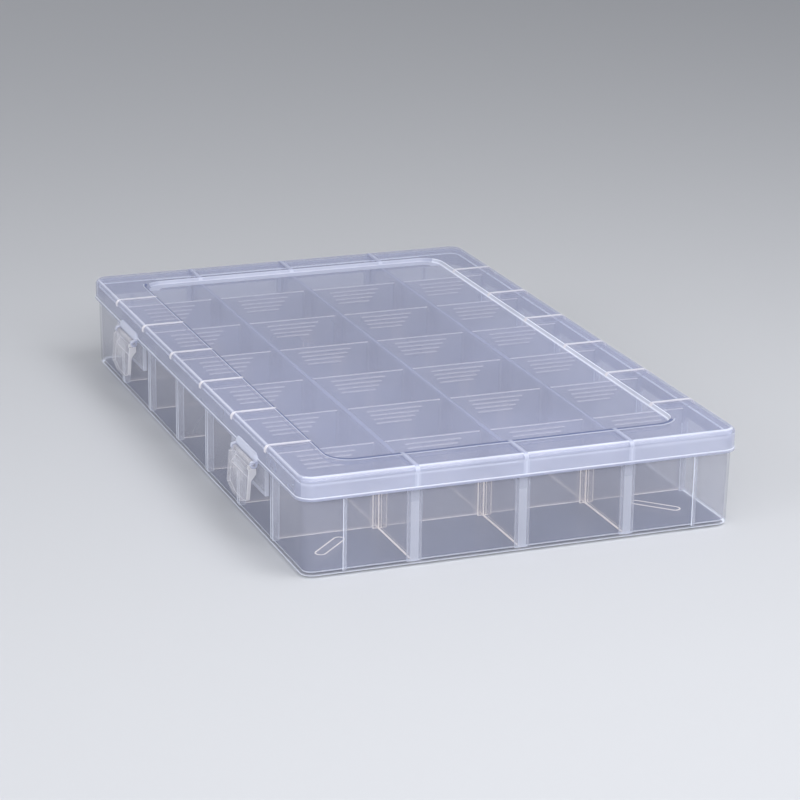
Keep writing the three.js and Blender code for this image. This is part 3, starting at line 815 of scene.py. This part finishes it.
def hood_slice(x):
    """The hood's outline at one place along it, which shrinks towards its round ends."""
    past = max(0.0, abs(x) - (HOOD_HALF - HOOD_RISE)) / HOOD_RISE
    share = max(math.sqrt(max(0.0, 1 - past * past)), LEAST_HOOD_SHARE)
    root = SKIRT_FACE - 0.5
    foot = LID_RIM + 0.02
    outline = [(root, foot), (SKIRT_FACE + HOOD_OUT * share, foot)]
    for turn in quarter_turn(HOOD_STEPS):
        outline.append((SKIRT_FACE + HOOD_OUT * share * math.cos(turn),
                        LID_RIM + HOOD_LIP + HOOD_RISE * share * math.sin(turn)))
    return outline + [(root, LID_RIM + HOOD_LIP + HOOD_RISE * share)]


def latch_hood(x):
    made, layer = start_piece()
    straight = HOOD_HALF - HOOD_RISE
    bends = [HOOD_RISE * math.sin(turn) for turn in quarter_turn(HOOD_STEPS)[1:]]
    stations = [-straight - bend for bend in reversed(bends)]
    stations += [-straight, -straight / 2, 0, straight / 2, straight]
    stations += [straight + bend for bend in bends]
    rings = [[made.verts.new((x + station, -out, up)) for out, up in hood_slice(station)]
             for station in stations]
    for lower, upper in zip(rings, rings[1:]):
        for face in join_rings(made, layer, lower, upper, 0.5)[:3]:
            face[layer] = 0.4
    for ring in (rings[0][::-1], rings[-1]):
        made.faces.new(ring)[layer] = 0.4
    round_end = [math.radians(degrees) for degrees in range(-135, 91, 15)]
    for side in (-1, 1):
        outline = arc_outline((-LATCH_AXIS[0], LATCH_AXIS[1]), LUG_RADIUS, round_end)
        outline += [(-SKIRT_FACE + 0.25, LID_RIM + 0.3),
                    (-SKIRT_FACE - HOOD_OUT * 0.75, LID_RIM + 0.3)]
        middle = x + side * LUG_MIDDLE
        extrude_outline(made, layer, outline, along_x, middle - LUG_THICK / 2,
                        middle + LUG_THICK / 2, 0.15, 0.2, 0.4, 1)
    return made


for side, label in SIDES:
    finish_piece(latch_hood(side * LATCH_X), f"latch_hood_{label}", lid_plastic,
                 "lid")
print("latch hoods", len(SIDES))

# %% [markdown]
# The hinge knuckles are open rings that snap over a pin on the tray. The ring is one outline,
# the outer arc one way round and the bore back again, extruded along the pin. Cutting a tube
# with a boolean would do too, but one outline keeps its edges clean for the bevel.

# %% Hinge knuckles
HINGE = (110.4, 35.5)
KNUCKLE_OUT = 3.0
KNUCKLE_BORE = 1.7
KNUCKLE_HALF = 7.0
KNUCKLE_STEPS = 24
MOUTH_HALF = 1.15
ARM_RISE = 3.2


def knuckle_outline():
    outline = []
    for radius, way in ((KNUCKLE_OUT, 1), (KNUCKLE_BORE, -1)):
        gap = math.asin(MOUTH_HALF / radius)
        angles = [gap + i / KNUCKLE_STEPS * (2 * math.pi - 2 * gap)
                  for i in range(KNUCKLE_STEPS + 1)]
        outline += arc_outline(HINGE, radius, angles[::way])
    return outline


knuckle_arm = [
    (SKIRT_FACE - 0.4, LID_RIM + 0.05), (LID_HALF[1] + 0.4, LID_RIM + 0.05),
    (HINGE[0] - 0.9, HINGE[1] + 2.1), (HINGE[0] + 0.6, HINGE[1] + 2.85),
    (LID_HALF[1] + 0.3, LID_RIM + ARM_RISE), (SKIRT_FACE - 0.4, LID_RIM + ARM_RISE)]
for side, label in SIDES:
    made, layer = start_piece()
    for outline, edge in ((knuckle_outline(), 0.5), (knuckle_arm, 0.4)):
        extrude_outline(made, layer, outline, along_x, side * LATCH_X - KNUCKLE_HALF,
                        side * LATCH_X + KNUCKLE_HALF, 0.2, 0.7, edge, 1)
    finish_piece(made, f"hinge_knuckle_{label}", lid_plastic, "lid")
print("hinge knuckles", len(SIDES))

# %% [markdown]
# The tray is the same kind of shell as the lid, the other way up. Its bottom edge is a small
# rounding that reads as a thin white line round the foot of the box: the whitish edge of the
# plastic, lifted by a painted glow, since the rounding faces down. Its walls lean out a little,
# so that it comes out of the mould. The face of the floor is darkened with painted shade.

# %% Tray shell
FLOOR_SHADE = -0.9
INNER_ROUND = 0.9
FOOT_EDGE_AND_GLOW_MASKS = (0.9, 1.0, 1.0, 0.7, 0.4, 0.2, 0.0)
INNER_MASKS = (0.6, 0.6, 0.6, 0.6, 0.0)


def rim_level(inset, z, edge=0.0):
    lean = TRAY_DRAFT * (TRAY_RIM - z) / (TRAY_RIM - TRAY_FOOT)
    return (TRAY_HALF[0] - lean - inset, TRAY_HALF[1] - lean - inset, TRAY_CORNER - inset, z, edge)


def foot_level(inset, z, edge):
    return (FOOT_HALF[0] - inset, FOOT_HALF[1] - inset, TRAY_CORNER - inset, z, edge)


def tray_levels():
    levels = []
    for turn, edge in zip(quarter_turn(len(FOOT_EDGE_AND_GLOW_MASKS) - 1), FOOT_EDGE_AND_GLOW_MASKS):
        levels.append(foot_level(TRAY_EDGE * (1 - math.sin(turn)),
                                 TRAY_FOOT + TRAY_EDGE * (1 - math.cos(turn)), edge))
    levels += [
        rim_level(0.0, TRAY_RIM - 0.35, 0.8),
        rim_level(0.1, TRAY_RIM - 0.1, 0.9),
        rim_level(0.35, TRAY_RIM, 1.0),
        rim_level(TRAY_WALL - 0.35, TRAY_RIM, 0.9),
        rim_level(TRAY_WALL - 0.1, TRAY_RIM - 0.1, 0.8),
        rim_level(TRAY_WALL, TRAY_RIM - 0.35),
    ]
    for turn, edge in zip(quarter_turn(len(INNER_MASKS) - 1), INNER_MASKS):
        levels.append(foot_level(TRAY_WALL + INNER_ROUND * (1 - math.cos(turn)),
                                 FLOOR_TOP + INNER_ROUND * (1 - math.sin(turn)), edge))
    return levels


made, layer = start_piece()
skin_levels(made, layer, tray_levels(), FLOOR_SHADE)
tray_shell = finish_piece(made, "tray_shell", tray_plastic, "tray", ["tray"])
print("tray shell faces", len(tray_shell.data.polygons))

# %% [markdown]
# Three fixed partitions run the length of the tray. A partition is a thin plate that spreads
# at its foot into two small fillets, and these show as fine warm lines along the floor. One
# outline extruded along the box gives plate and fillets together, with no join to round off.

# %% Partitions
PARTITION_HALF = 0.55
PARTITION_END = FLOOR_HALF[0] - BAND_DEPTH - 0.02
FLARE = 0.65
TALL_FACE = 20


def partition_outline():
    half = PARTITION_HALF
    foot = FLOOR_TOP - OVERLAP
    left = [(-half - FLARE, foot), (-half - FLARE * 0.4, foot + FLARE * 0.4),
            (-half, foot + FLARE), (-half, TRAY_RIM - 0.2), (-half + 0.2, TRAY_RIM)]
    return left + sided(left[::-1], -1)


made, layer = start_piece()
extrude_outline(made, layer, partition_outline(), along_x, -PARTITION_END, PARTITION_END, 0)
for face in made.faces:
    heights = [vertex.co.z for vertex in face.verts]
    if abs(face.normal.x) > 0.5:
        face[layer] = 0.2
    elif max(heights) - min(heights) > TALL_FACE:
        face[layer] = 0.0
    else:
        face[layer] = 0.15 if min(heights) > FLOOR_TOP + 5 else 1.0
grid_copies(made, "tray_partitions", 1, 0, COLUMN_LINES, COLUMN_PITCH, fitting_plastic, "tray")
print("partitions", COLUMN_LINES)

# %% [markdown]
# Each divider stands in slots: pairs of upright ribs on the partitions and on the long walls.
# One pair is made by hand and the grid tree sets out the rest. A rib is bright near its foot
# and fades above a given height, so its faces are cut there and each part has its own mask.

# %% Slot ribs
SLOT_INNER = 0.9
SLOT_OUTER = 1.9
SLOT_REACH = 3.55
WALL_SLOT_REACH = 3.0
CORNER_FILLET = 0.35


def rib_pair(y0, y1, fade, outline_mask=1.0, side_mask=0.1):
    on_partition = y0 < 0 < y1
    made, layer = start_piece()
    for side in (-1, 1):
        outline = box_outline(min(side * SLOT_INNER, side * SLOT_OUTER),
                              max(side * SLOT_INNER, side * SLOT_OUTER), y0, y1)
        extrude_outline(made, layer, outline, along_z, FLOOR_TOP - OVERLAP, SLOT_TOP, 0.3,
                        0.5, outline_mask, 1)
    plain = list(made.verts) + list(made.edges) + list(made.faces)
    bmesh.ops.bisect_plane(made, geom=plain, plane_co=(0, 0, fade), plane_no=(0, 0, 1))
    for face in made.faces:
        if face.calc_center_median().z > fade:
            face[layer] = 0.15 if abs(face.normal.x) < 0.9 else 0.05
        elif abs(face.normal.x) > 0.9:
            face[layer] = side_mask
        elif abs(face.normal.y) > 0.9:
            face[layer] = 0.8 if on_partition else 0.5
    for side_x, side_y in CORNERS if on_partition else ():
        inner = (SLOT_OUTER - 0.1) * side_x
        root = 0.5 * side_y
        corner = [(inner, root), ((SLOT_OUTER + CORNER_FILLET) * side_x, root),
                  (inner, root + (CORNER_FILLET + 0.1) * side_y)]
        extrude_outline(made, layer, corner, along_z, FLOOR_TOP - OVERLAP, fade, 0.0, 1.0, 1.0)
    return made


grid_copies(rib_pair(-SLOT_REACH, SLOT_REACH, 22.0), "tray_slot_ribs",
            ROW_LINES, ROW_PITCH, COLUMN_LINES, COLUMN_PITCH, fitting_plastic, "tray")
for side, label in LONG_SIDES:
    ends = sorted((side * (FLOOR_HALF[1] - WALL_SLOT_REACH), side * (FLOOR_HALF[1] + 0.35)))
    grid_copies(rib_pair(*ends, 37.0, 0.65, 0.25), f"tray_wall_slots_{label}",
                ROW_LINES, ROW_PITCH, 1, 0, tray_plastic, "tray")
print("slots", ROW_LINES * (COLUMN_LINES + len(LONG_SIDES)))

# %% [markdown]
# Where a partition meets a short wall there is a slightly raised band, and near the corners
# two plain ribs stand on the outside. Plain boxes would do for the shape, but bevelled prisms
# also show the thin light line that a moulded rib has along its edge.

# %% Wall bands and end ribs
BAND_CORE_HALF = 2.0
END_RIB_Y = 86.0
END_RIB_HALF = 0.85
END_RIB_OUT = 0.8
END_RIB_GAP = 0.4

for side, label in SIDES:
    made, layer = start_piece()
    near, far, core = (side * (FLOOR_HALF[0] + out) for out in (-BAND_DEPTH, 0.3, 0.4))
    extrude_outline(made, layer, box_outline(near, far, -SLOT_REACH, SLOT_REACH), along_z,
                    FLOOR_TOP - OVERLAP, SLOT_TOP, 0.2, 1.0, 0.35, 1)
    for face in made.faces:
        if abs(face.normal.x) > 0.9:
            face[layer] = 0.16
    extrude_outline(made, layer, box_outline(far, core, -BAND_CORE_HALF, BAND_CORE_HALF), along_z,
                    FLOOR_TOP, SLOT_TOP - 0.2, 0.0, 0.38, 0.38)
    grid_copies(made, f"tray_wall_bands_{label}", 1, 0, COLUMN_LINES, COLUMN_PITCH,
                tray_plastic, "tray")

rib_top = LID_RIM - END_RIB_GAP
rib_low = TRAY_FOOT + TRAY_EDGE
top_x = TRAY_HALF[0] - TRAY_DRAFT * (TRAY_RIM - rib_top) / (TRAY_RIM - TRAY_FOOT)
end_rib = [
    (FOOT_HALF[0] - 0.3, rib_low), (FOOT_HALF[0] + END_RIB_OUT - 0.4, rib_low),
    (FOOT_HALF[0] + END_RIB_OUT, rib_low + 0.5), (top_x + END_RIB_OUT, rib_top),
    (top_x - 0.3, rib_top)]
made, layer = start_piece()
for sign_x, sign_y in CORNERS:
    y = sign_y * END_RIB_Y
    extrude_outline(made, layer, sided(end_rib, sign_x), along_y,
                    y - END_RIB_HALF, y + END_RIB_HALF, 0.2, 1.0, 0.3, 1)
for face in made.faces:
    if face.normal.y > 0.5:
        face[layer] = 0.15
    elif abs(face.normal.x) > 0.9:
        face[layer] = 0.12
finish_piece(made, "tray_end_ribs", tray_plastic, "tray")
print("wall bands", len(SIDES) * COLUMN_LINES, "and end ribs", len(CORNERS))

# %% [markdown]
# Four low feet lie across the corners under the tray. Seen through the floor, a foot shows
# only its outline, as a long ring with round ends, so its rim is an edge and its middle clear.
# It is skinned from rings, because a bevelled block would give all its faces one mask.

# %% Feet
FOOT_PLACE = (140.5, 81.8)
FOOT_STRAIGHT = 9.75
FOOT_ROUND = 2.75
FOOT_STEPS = 8
RING_RISE = 0.06
FOOT_PATH = (
    (FOOT_ROUND + 0.25, TRAY_FOOT + 0.04, 1.0), (FOOT_ROUND, TRAY_FOOT - 0.2, 1.0),
    (FOOT_ROUND - 0.1, 0.2, 1.0), (FOOT_ROUND - 0.35, 0.0, 0.9),
    (FOOT_ROUND - 1.0, 0.0, 0.9), (FOOT_ROUND - 1.2, 0.35, 0.0))
RING_PATH = (
    (FOOT_ROUND + 0.1, FLOOR_TOP - 0.1), (FOOT_ROUND + 0.1, FLOOR_TOP + RING_RISE),
    (FOOT_ROUND - 0.7, FLOOR_TOP + RING_RISE), (FOOT_ROUND - 0.7, FLOOR_TOP - 0.1))


def stadium(made, radius, centre, turn, z):
    """Vertices round a long shape with round ends, turned about its centre."""
    ring = []
    for end, start in ((1, -math.pi / 2), (-1, math.pi / 2)):
        for i in range(FOOT_STEPS + 1):
            angle = start + i / FOOT_STEPS * math.pi
            x = end * FOOT_STRAIGHT + radius * math.cos(angle)
            y = radius * math.sin(angle)
            ring.append(made.verts.new((centre[0] + x * math.cos(turn) - y * math.sin(turn),
                                        centre[1] + x * math.sin(turn) + y * math.cos(turn), z)))
    return ring


made, layer = start_piece()
for sign_x, sign_y in CORNERS:
    centre = (sign_x * FOOT_PLACE[0], sign_y * FOOT_PLACE[1])
    turn = sign_x * sign_y * math.pi / 4
    rings = [stadium(made, radius, centre, turn, z) for radius, z, edge in FOOT_PATH]
    for lower, upper, (radius, z, edge) in zip(rings, rings[1:], FOOT_PATH):
        join_rings(made, layer, lower, upper, edge)
    made.faces.new(rings[0])
    made.faces.new(rings[-1][::-1])
    rings = [stadium(made, radius, centre, turn, z) for radius, z in RING_PATH]
    for lower, upper in zip(rings, rings[1:] + rings[:1]):
        join_rings(made, layer, lower, upper, 0.9)
finish_piece(made, "tray_feet", fitting_plastic, "tray")
print("feet", len(CORNERS))

# %% [markdown]
# Behind each latch the wall carries a pad with a sloping ridge that the latch snaps over.
# On the other long side, two ears with a pin between them carry each hinge knuckle. All of
# them are straight along X, so each is its side view, extruded.

# %% Catch pads, hinge ears and pins
PAD_OUT = 107.6
PAD_TOP = 36.8
PAD_HEIGHT = 13.2
CATCH_OUT = 108.1
CATCH_FOOT = 34.6
CATCH_HALF = 13.0
EAR_HALF = 1.1
EAR_MIDDLE = 8.4
EAR_RADIUS = 2.4
PIN_RADIUS = 1.4
PIN_STEPS = 24

wall = TRAY_HALF[1] - TRAY_DRAFT + OVERLAP
pad = [(-wall, PAD_TOP - PAD_HEIGHT), (-PAD_OUT, PAD_TOP - PAD_HEIGHT), (-PAD_OUT, PAD_TOP),
       (-wall, PAD_TOP)]
ridge = [(-PAD_OUT + 0.3, CATCH_FOOT), (-CATCH_OUT, CATCH_FOOT), (-CATCH_OUT, PAD_TOP - 1.1),
         (-PAD_OUT + 0.1, PAD_TOP - 0.1)]
ear_turn = [math.radians(degrees) for degrees in range(0, 181, 15)]
ear = [(wall, HINGE[1] - 6.0), *arc_outline(HINGE, EAR_RADIUS, ear_turn), (wall, HINGE[1] + 1.6)]
pin = round_outline(HINGE, PIN_RADIUS, PIN_STEPS)
for side, label in SIDES:
    x = side * LATCH_X
    made, layer = start_piece()
    extrude_outline(made, layer, pad, along_x, x - ROW_PITCH / 2, x + ROW_PITCH / 2,
                    0.2, 0.35, 0.35, 1)
    for face in made.faces:
        if abs(face.normal.y) > 0.9:
            face[layer] = 0.1
    extrude_outline(made, layer, ridge, along_x, x - CATCH_HALF, x + CATCH_HALF, 0.1, 0.4, 0.3, 1)
    finish_piece(made, f"catch_pad_{label}", tray_plastic, "tray")

    made, layer = start_piece()
    for end in (-1, 1):
        middle = x + end * EAR_MIDDLE
        extrude_outline(made, layer, ear, along_x, middle - EAR_HALF, middle + EAR_HALF,
                        0.2, 0.35, 0.8, 1)
    extrude_outline(made, layer, pin, along_x, x - EAR_MIDDLE, x + EAR_MIDDLE, 0, 0.5, 0.5)
    finish_piece(made, f"hinge_ears_{label}", tray_plastic, "tray")
print("catch pads and hinge pins", len(SIDES))

# %% [markdown]
# A divider is a thin plate with finger grips: four bars on each face, the top one longest.
# The bars follow a rule, so a second small tree copies one bar down the plate and shortens
# each copy. The finished divider is then copied to its 24 places, one mesh for each body.

# %% Dividers
DIVIDER_HALF = 0.6
DIVIDER_FOOT = 2.6
DIVIDER_SIDE = 24.4375
DIVIDER_CHAMFER = 1.5
DIVIDER_TOP_CHAMFER = 1.0
GRIPS = 4
GRIP_HALF = 14.0
GRIP_FOOT_SHARE = 18 / 28
GRIP_SPACING = 2.1
GRIP_OUT = 0.5
GRIP_DROP = 2.5
GRIP_MASK = 0.46


def grip_tree():
    tree, given, wanted = new_group(
        "Finger grips",
        [("Geometry", "Geometry"), ("Bars", "Int"), ("Spacing", "Float"),
         ("Last Bar Share", "Float"), ("Material", "Material")],
        [("Geometry", "Geometry")], "GeometryNodeTree")
    line = add_node(tree, "GeometryNodeMeshLine", mode="OFFSET")
    feed(tree, given["Bars"], line, "Count")
    drop = arithmetic(tree, "MULTIPLY", given["Spacing"], -1.0)
    feed(tree, vector_along(tree, "Z", drop), line, "Offset")
    number = add_node(tree, "GeometryNodeInputIndex").outputs["Index"]
    last = arithmetic(tree, "SUBTRACT", given["Bars"], 1.0)
    share = arithmetic(tree, "DIVIDE", number, last)
    loss = arithmetic(tree, "SUBTRACT", given["Last Bar Share"], 1.0)
    size = add_node(tree, "ShaderNodeCombineXYZ")
    set_values(size, {"X": 1, "Z": 1})
    feed(tree, arithmetic(tree, "MULTIPLY_ADD", share, loss, 1.0), size, "Y")
    bars = instances(tree, line.outputs["Mesh"], given["Geometry"], size.outputs["Vector"])
    finish_tree(tree, bars, given, wanted)
    return tree


def grip_bars():
    """The bars on both faces, as one mesh with its top bar at height 0."""
    made, layer = start_piece()
    for side in (-1, 1):
        inner, outer = side * (DIVIDER_HALF - OVERLAP), side * (DIVIDER_HALF + GRIP_OUT)
        outline = [(inner, -0.4), (outer, -0.22), (outer, 0.22), (inner, 0.4)]
        extrude_outline(made, layer, outline, along_y, -GRIP_HALF, GRIP_HALF, 0.12,
                        GRIP_MASK, GRIP_MASK, 1)
    return run_nodes(loose_piece(made, divider_plastic), grip_tree(), {
        "Bars": GRIPS, "Spacing": GRIP_SPACING * MM, "Last Bar Share": GRIP_FOOT_SHARE,
        "Material": divider_plastic})


def divider_mesh():
    side, foot, cut = DIVIDER_SIDE, DIVIDER_FOOT, DIVIDER_CHAMFER
    top_cut = DIVIDER_TOP_CHAMFER
    outline = [(-side, SLOT_TOP - top_cut), (-side, foot + cut), (-side + cut, foot),
               (side - cut, foot), (side, foot + cut), (side, SLOT_TOP - top_cut),
               (side - top_cut, SLOT_TOP), (-side + top_cut, SLOT_TOP)]
    made, layer = start_piece()
    extrude_outline(made, layer, outline, along_x, -DIVIDER_HALF, DIVIDER_HALF)
    for face in made.faces:
        height = face.calc_center_median().z
        if height > SLOT_TOP - 0.3:
            face[layer] = 0.75
        elif height > FLOOR_TOP + 5 and face[layer] > 0:
            face[layer] = 0.08
    plate = loose_piece(made, divider_plastic, "plate")
    mesh = plate.data
    bpy.data.objects.remove(plate)
    bars = grip_bars()
    bars.transform(Matrix.Translation((0, 0, (SLOT_TOP - GRIP_DROP) * MM)))
    joined, layer = start_piece()
    joined.from_mesh(mesh)
    joined.from_mesh(bars)
    joined.to_mesh(mesh)
    joined.free()
    bpy.data.meshes.remove(bars)
    return mesh


pattern = divider_mesh()
for row in range(ROW_LINES):
    for column in range(COLUMN_LINES + 1):
        place = Vector(((row - (ROW_LINES - 1) / 2) * ROW_PITCH,
                        (column - COLUMN_LINES / 2) * COLUMN_PITCH, 0)) * MM
        node = f"divider_row{row + 1}_column{column + 1}"
        mesh = pattern.copy()
        mesh.transform(Matrix.Translation(place))
        place_piece(mesh, f"{node}_plate", node, [node])
bpy.data.meshes.remove(pattern)
print("dividers", ROW_LINES * (COLUMN_LINES + 1))

# %% [markdown]
# A latch is one moulding: a flap that leans outwards, a barrel and pins along its top, a nose
# inside, and a shallow place for the thumb. Its side view and its front view are both simple
# outlines, so it is made as the overlap of two prisms, and the thumb place is cut from it.

# %% Latch sizes and cuts
LATCH_HALF = 15.0
LATCH_TIP = 16.0
LATCH_SHOULDER = 34.3
LATCH_LEAN = 1.3
LATCH_INNER = 110.4
LATCH_OUTER = 112.1
REACH = 113.4
SWING_GAP = 0.3
NOSE_REACH = 2.0
NOSE_HEIGHT = 3.2
NOSE_SLOPE = 3.0
NOSE_LEAN = 0.45
BARREL_RADIUS = 1.2
BARREL_HALF = 12.95
BARREL_CUT = 13.0
LATCH_PIN_RADIUS = 0.8
LATCH_PIN_HALF = 15.5
THUMB_HALF = (8.25, 4.5)
THUMB_CORNER = 3.0
THUMB_DEPTH = 0.35
THUMB_ZONE = (9.0, 5.2)
THUMB_Z = LATCH_AXIS[1] - 6.2
CUTTER_SPAN = (-116, -106)
LATCH_BEVEL = 0.2
WELD = 0.01


def combine(piece, made, operation):
    """Cut a piece with the shape in a bmesh, or keep what both share."""
    cutter = loose_piece(made, latch_plastic, "cutter")
    modifier = piece.modifiers.new("combine", "BOOLEAN")
    modifier.object = cutter
    modifier.operation = operation
    modifier.solver = "EXACT"
    mesh = evaluated_mesh(piece, modifier)
    old = piece.data
    piece.data = mesh
    bpy.data.meshes.remove(old)
    bpy.data.objects.remove(cutter)


def latch_profile():
    """The latch from the side: barrel, nose, and the flap that leans outwards."""
    out, up = LATCH_AXIS
    nose_top = CATCH_FOOT - SWING_GAP
    nose_foot = nose_top - NOSE_HEIGHT
    return sided([
        (out, up), (LATCH_INNER - NOSE_REACH, nose_top), (LATCH_INNER - NOSE_REACH, nose_foot),
        (LATCH_INNER + NOSE_LEAN, nose_foot - NOSE_SLOPE), (LATCH_INNER + LATCH_LEAN, LATCH_TIP),
        (REACH, LATCH_TIP), (LATCH_OUTER, LATCH_SHOULDER), (out, up + BARREL_RADIUS)], -1)


def latch_front():
    """The latch from the front, about its middle: blunt lower corners and a narrower barrel."""
    notch = LATCH_AXIS[1] - LUG_RADIUS - SWING_GAP
    top = LATCH_AXIS[1] + 3
    left = [(-LATCH_HALF, notch), (-LATCH_HALF, LATCH_TIP + 3.6), (-14.4, LATCH_TIP + 2.7),
            (-6.6, LATCH_TIP + 0.15), (-5.4, LATCH_TIP)]
    return left + sided(left[::-1], -1) + [
        (BARREL_CUT, notch), (BARREL_CUT, top), (-BARREL_CUT, top), (-BARREL_CUT, notch)]


def thumb_cutter(x):
    made, layer = start_piece()
    tall = LATCH_SHOULDER - LATCH_TIP
    outer = LATCH_OUTER + LATCH_LEAN * (LATCH_SHOULDER - THUMB_Z) / tall
    turn = (Matrix.Translation((x, -outer, THUMB_Z))
            @ Matrix.Rotation(math.pi / 2 - math.atan2(LATCH_LEAN, tall), 4, "X"))
    ring = [point[:2] for point in level_points(*THUMB_HALF, THUMB_CORNER, 0)]
    extrude_outline(made, layer, ring, lambda u, v, w: turn @ Vector((u, v, w)),
                    -THUMB_DEPTH, 1.0, 0.0, 0.25, 1.0)
    return made


# %% Latches
def latch_masks(made, layer, rounded, x):
    """Rounded edges are brightest, less so round the thumb place; of the other edges, those facing
    +X, towards the near end, come next as painted light on their lit side, and the rest after
    them.
    """
    for face in made.faces:
        middle = face.calc_center_median()
        if face in rounded:
            thumb = (abs(middle.x - x) < THUMB_ZONE[0] and middle.y < -111
                     and abs(middle.z - THUMB_Z) < THUMB_ZONE[1])
            face[layer] = 0.2 if thumb else 0.7
        elif face[layer] > 0.5:
            face[layer] = 0.5 if face.normal.x > 0.8 else 0.3


def latch_piece(x, label):
    made, layer = start_piece()
    extrude_outline(made, layer, latch_profile(), along_x, x - LATCH_HALF, x + LATCH_HALF,
                    0.0, 0.8, 0.0, 1)
    flap = loose_piece(made, latch_plastic)
    made, layer = start_piece()
    front = [(x + u, v) for u, v in latch_front()]
    extrude_outline(made, layer, front, along_y, *CUTTER_SPAN, 0.0, 1.0, 1.0)
    combine(flap, made, "INTERSECT")
    combine(flap, thumb_cutter(x), "DIFFERENCE")

    made, layer = start_piece()
    made.from_mesh(flap.data)
    bpy.data.objects.remove(flap)
    layer = made.faces.layers.float.get("edge")
    bmesh.ops.remove_doubles(made, verts=made.verts, dist=WELD * MM)
    sharp = [edge for edge in made.edges if len(edge.link_faces) == 2
             and edge.calc_face_angle(0) > 0.6]
    grown = bmesh.ops.bevel(
        made, geom=sharp, offset=LATCH_BEVEL * MM, offset_type="OFFSET", segments=2,
        profile=0.5, affect="EDGES", clamp_overlap=True)
    bmesh.ops.scale(made, vec=(1 / MM,) * 3, verts=made.verts)
    latch_masks(made, layer, set(grown["faces"]), x)
    axis = (-LATCH_AXIS[0], LATCH_AXIS[1])
    for radius, steps, half in ((BARREL_RADIUS, 24, BARREL_HALF),
                                (LATCH_PIN_RADIUS, 16, LATCH_PIN_HALF)):
        extrude_outline(made, layer, round_outline(axis, radius, steps), along_x,
                        x - half, x + half, 0, 0.3, 0.15)
    return finish_piece(made, f"latch_flap_{label}", latch_plastic, f"latch_{label}",
                        [f"latch_{label}"])


for side, label in SIDES:
    latch = latch_piece(side * LATCH_X, label)
    print("latch", label, "faces", len(latch.data.polygons))
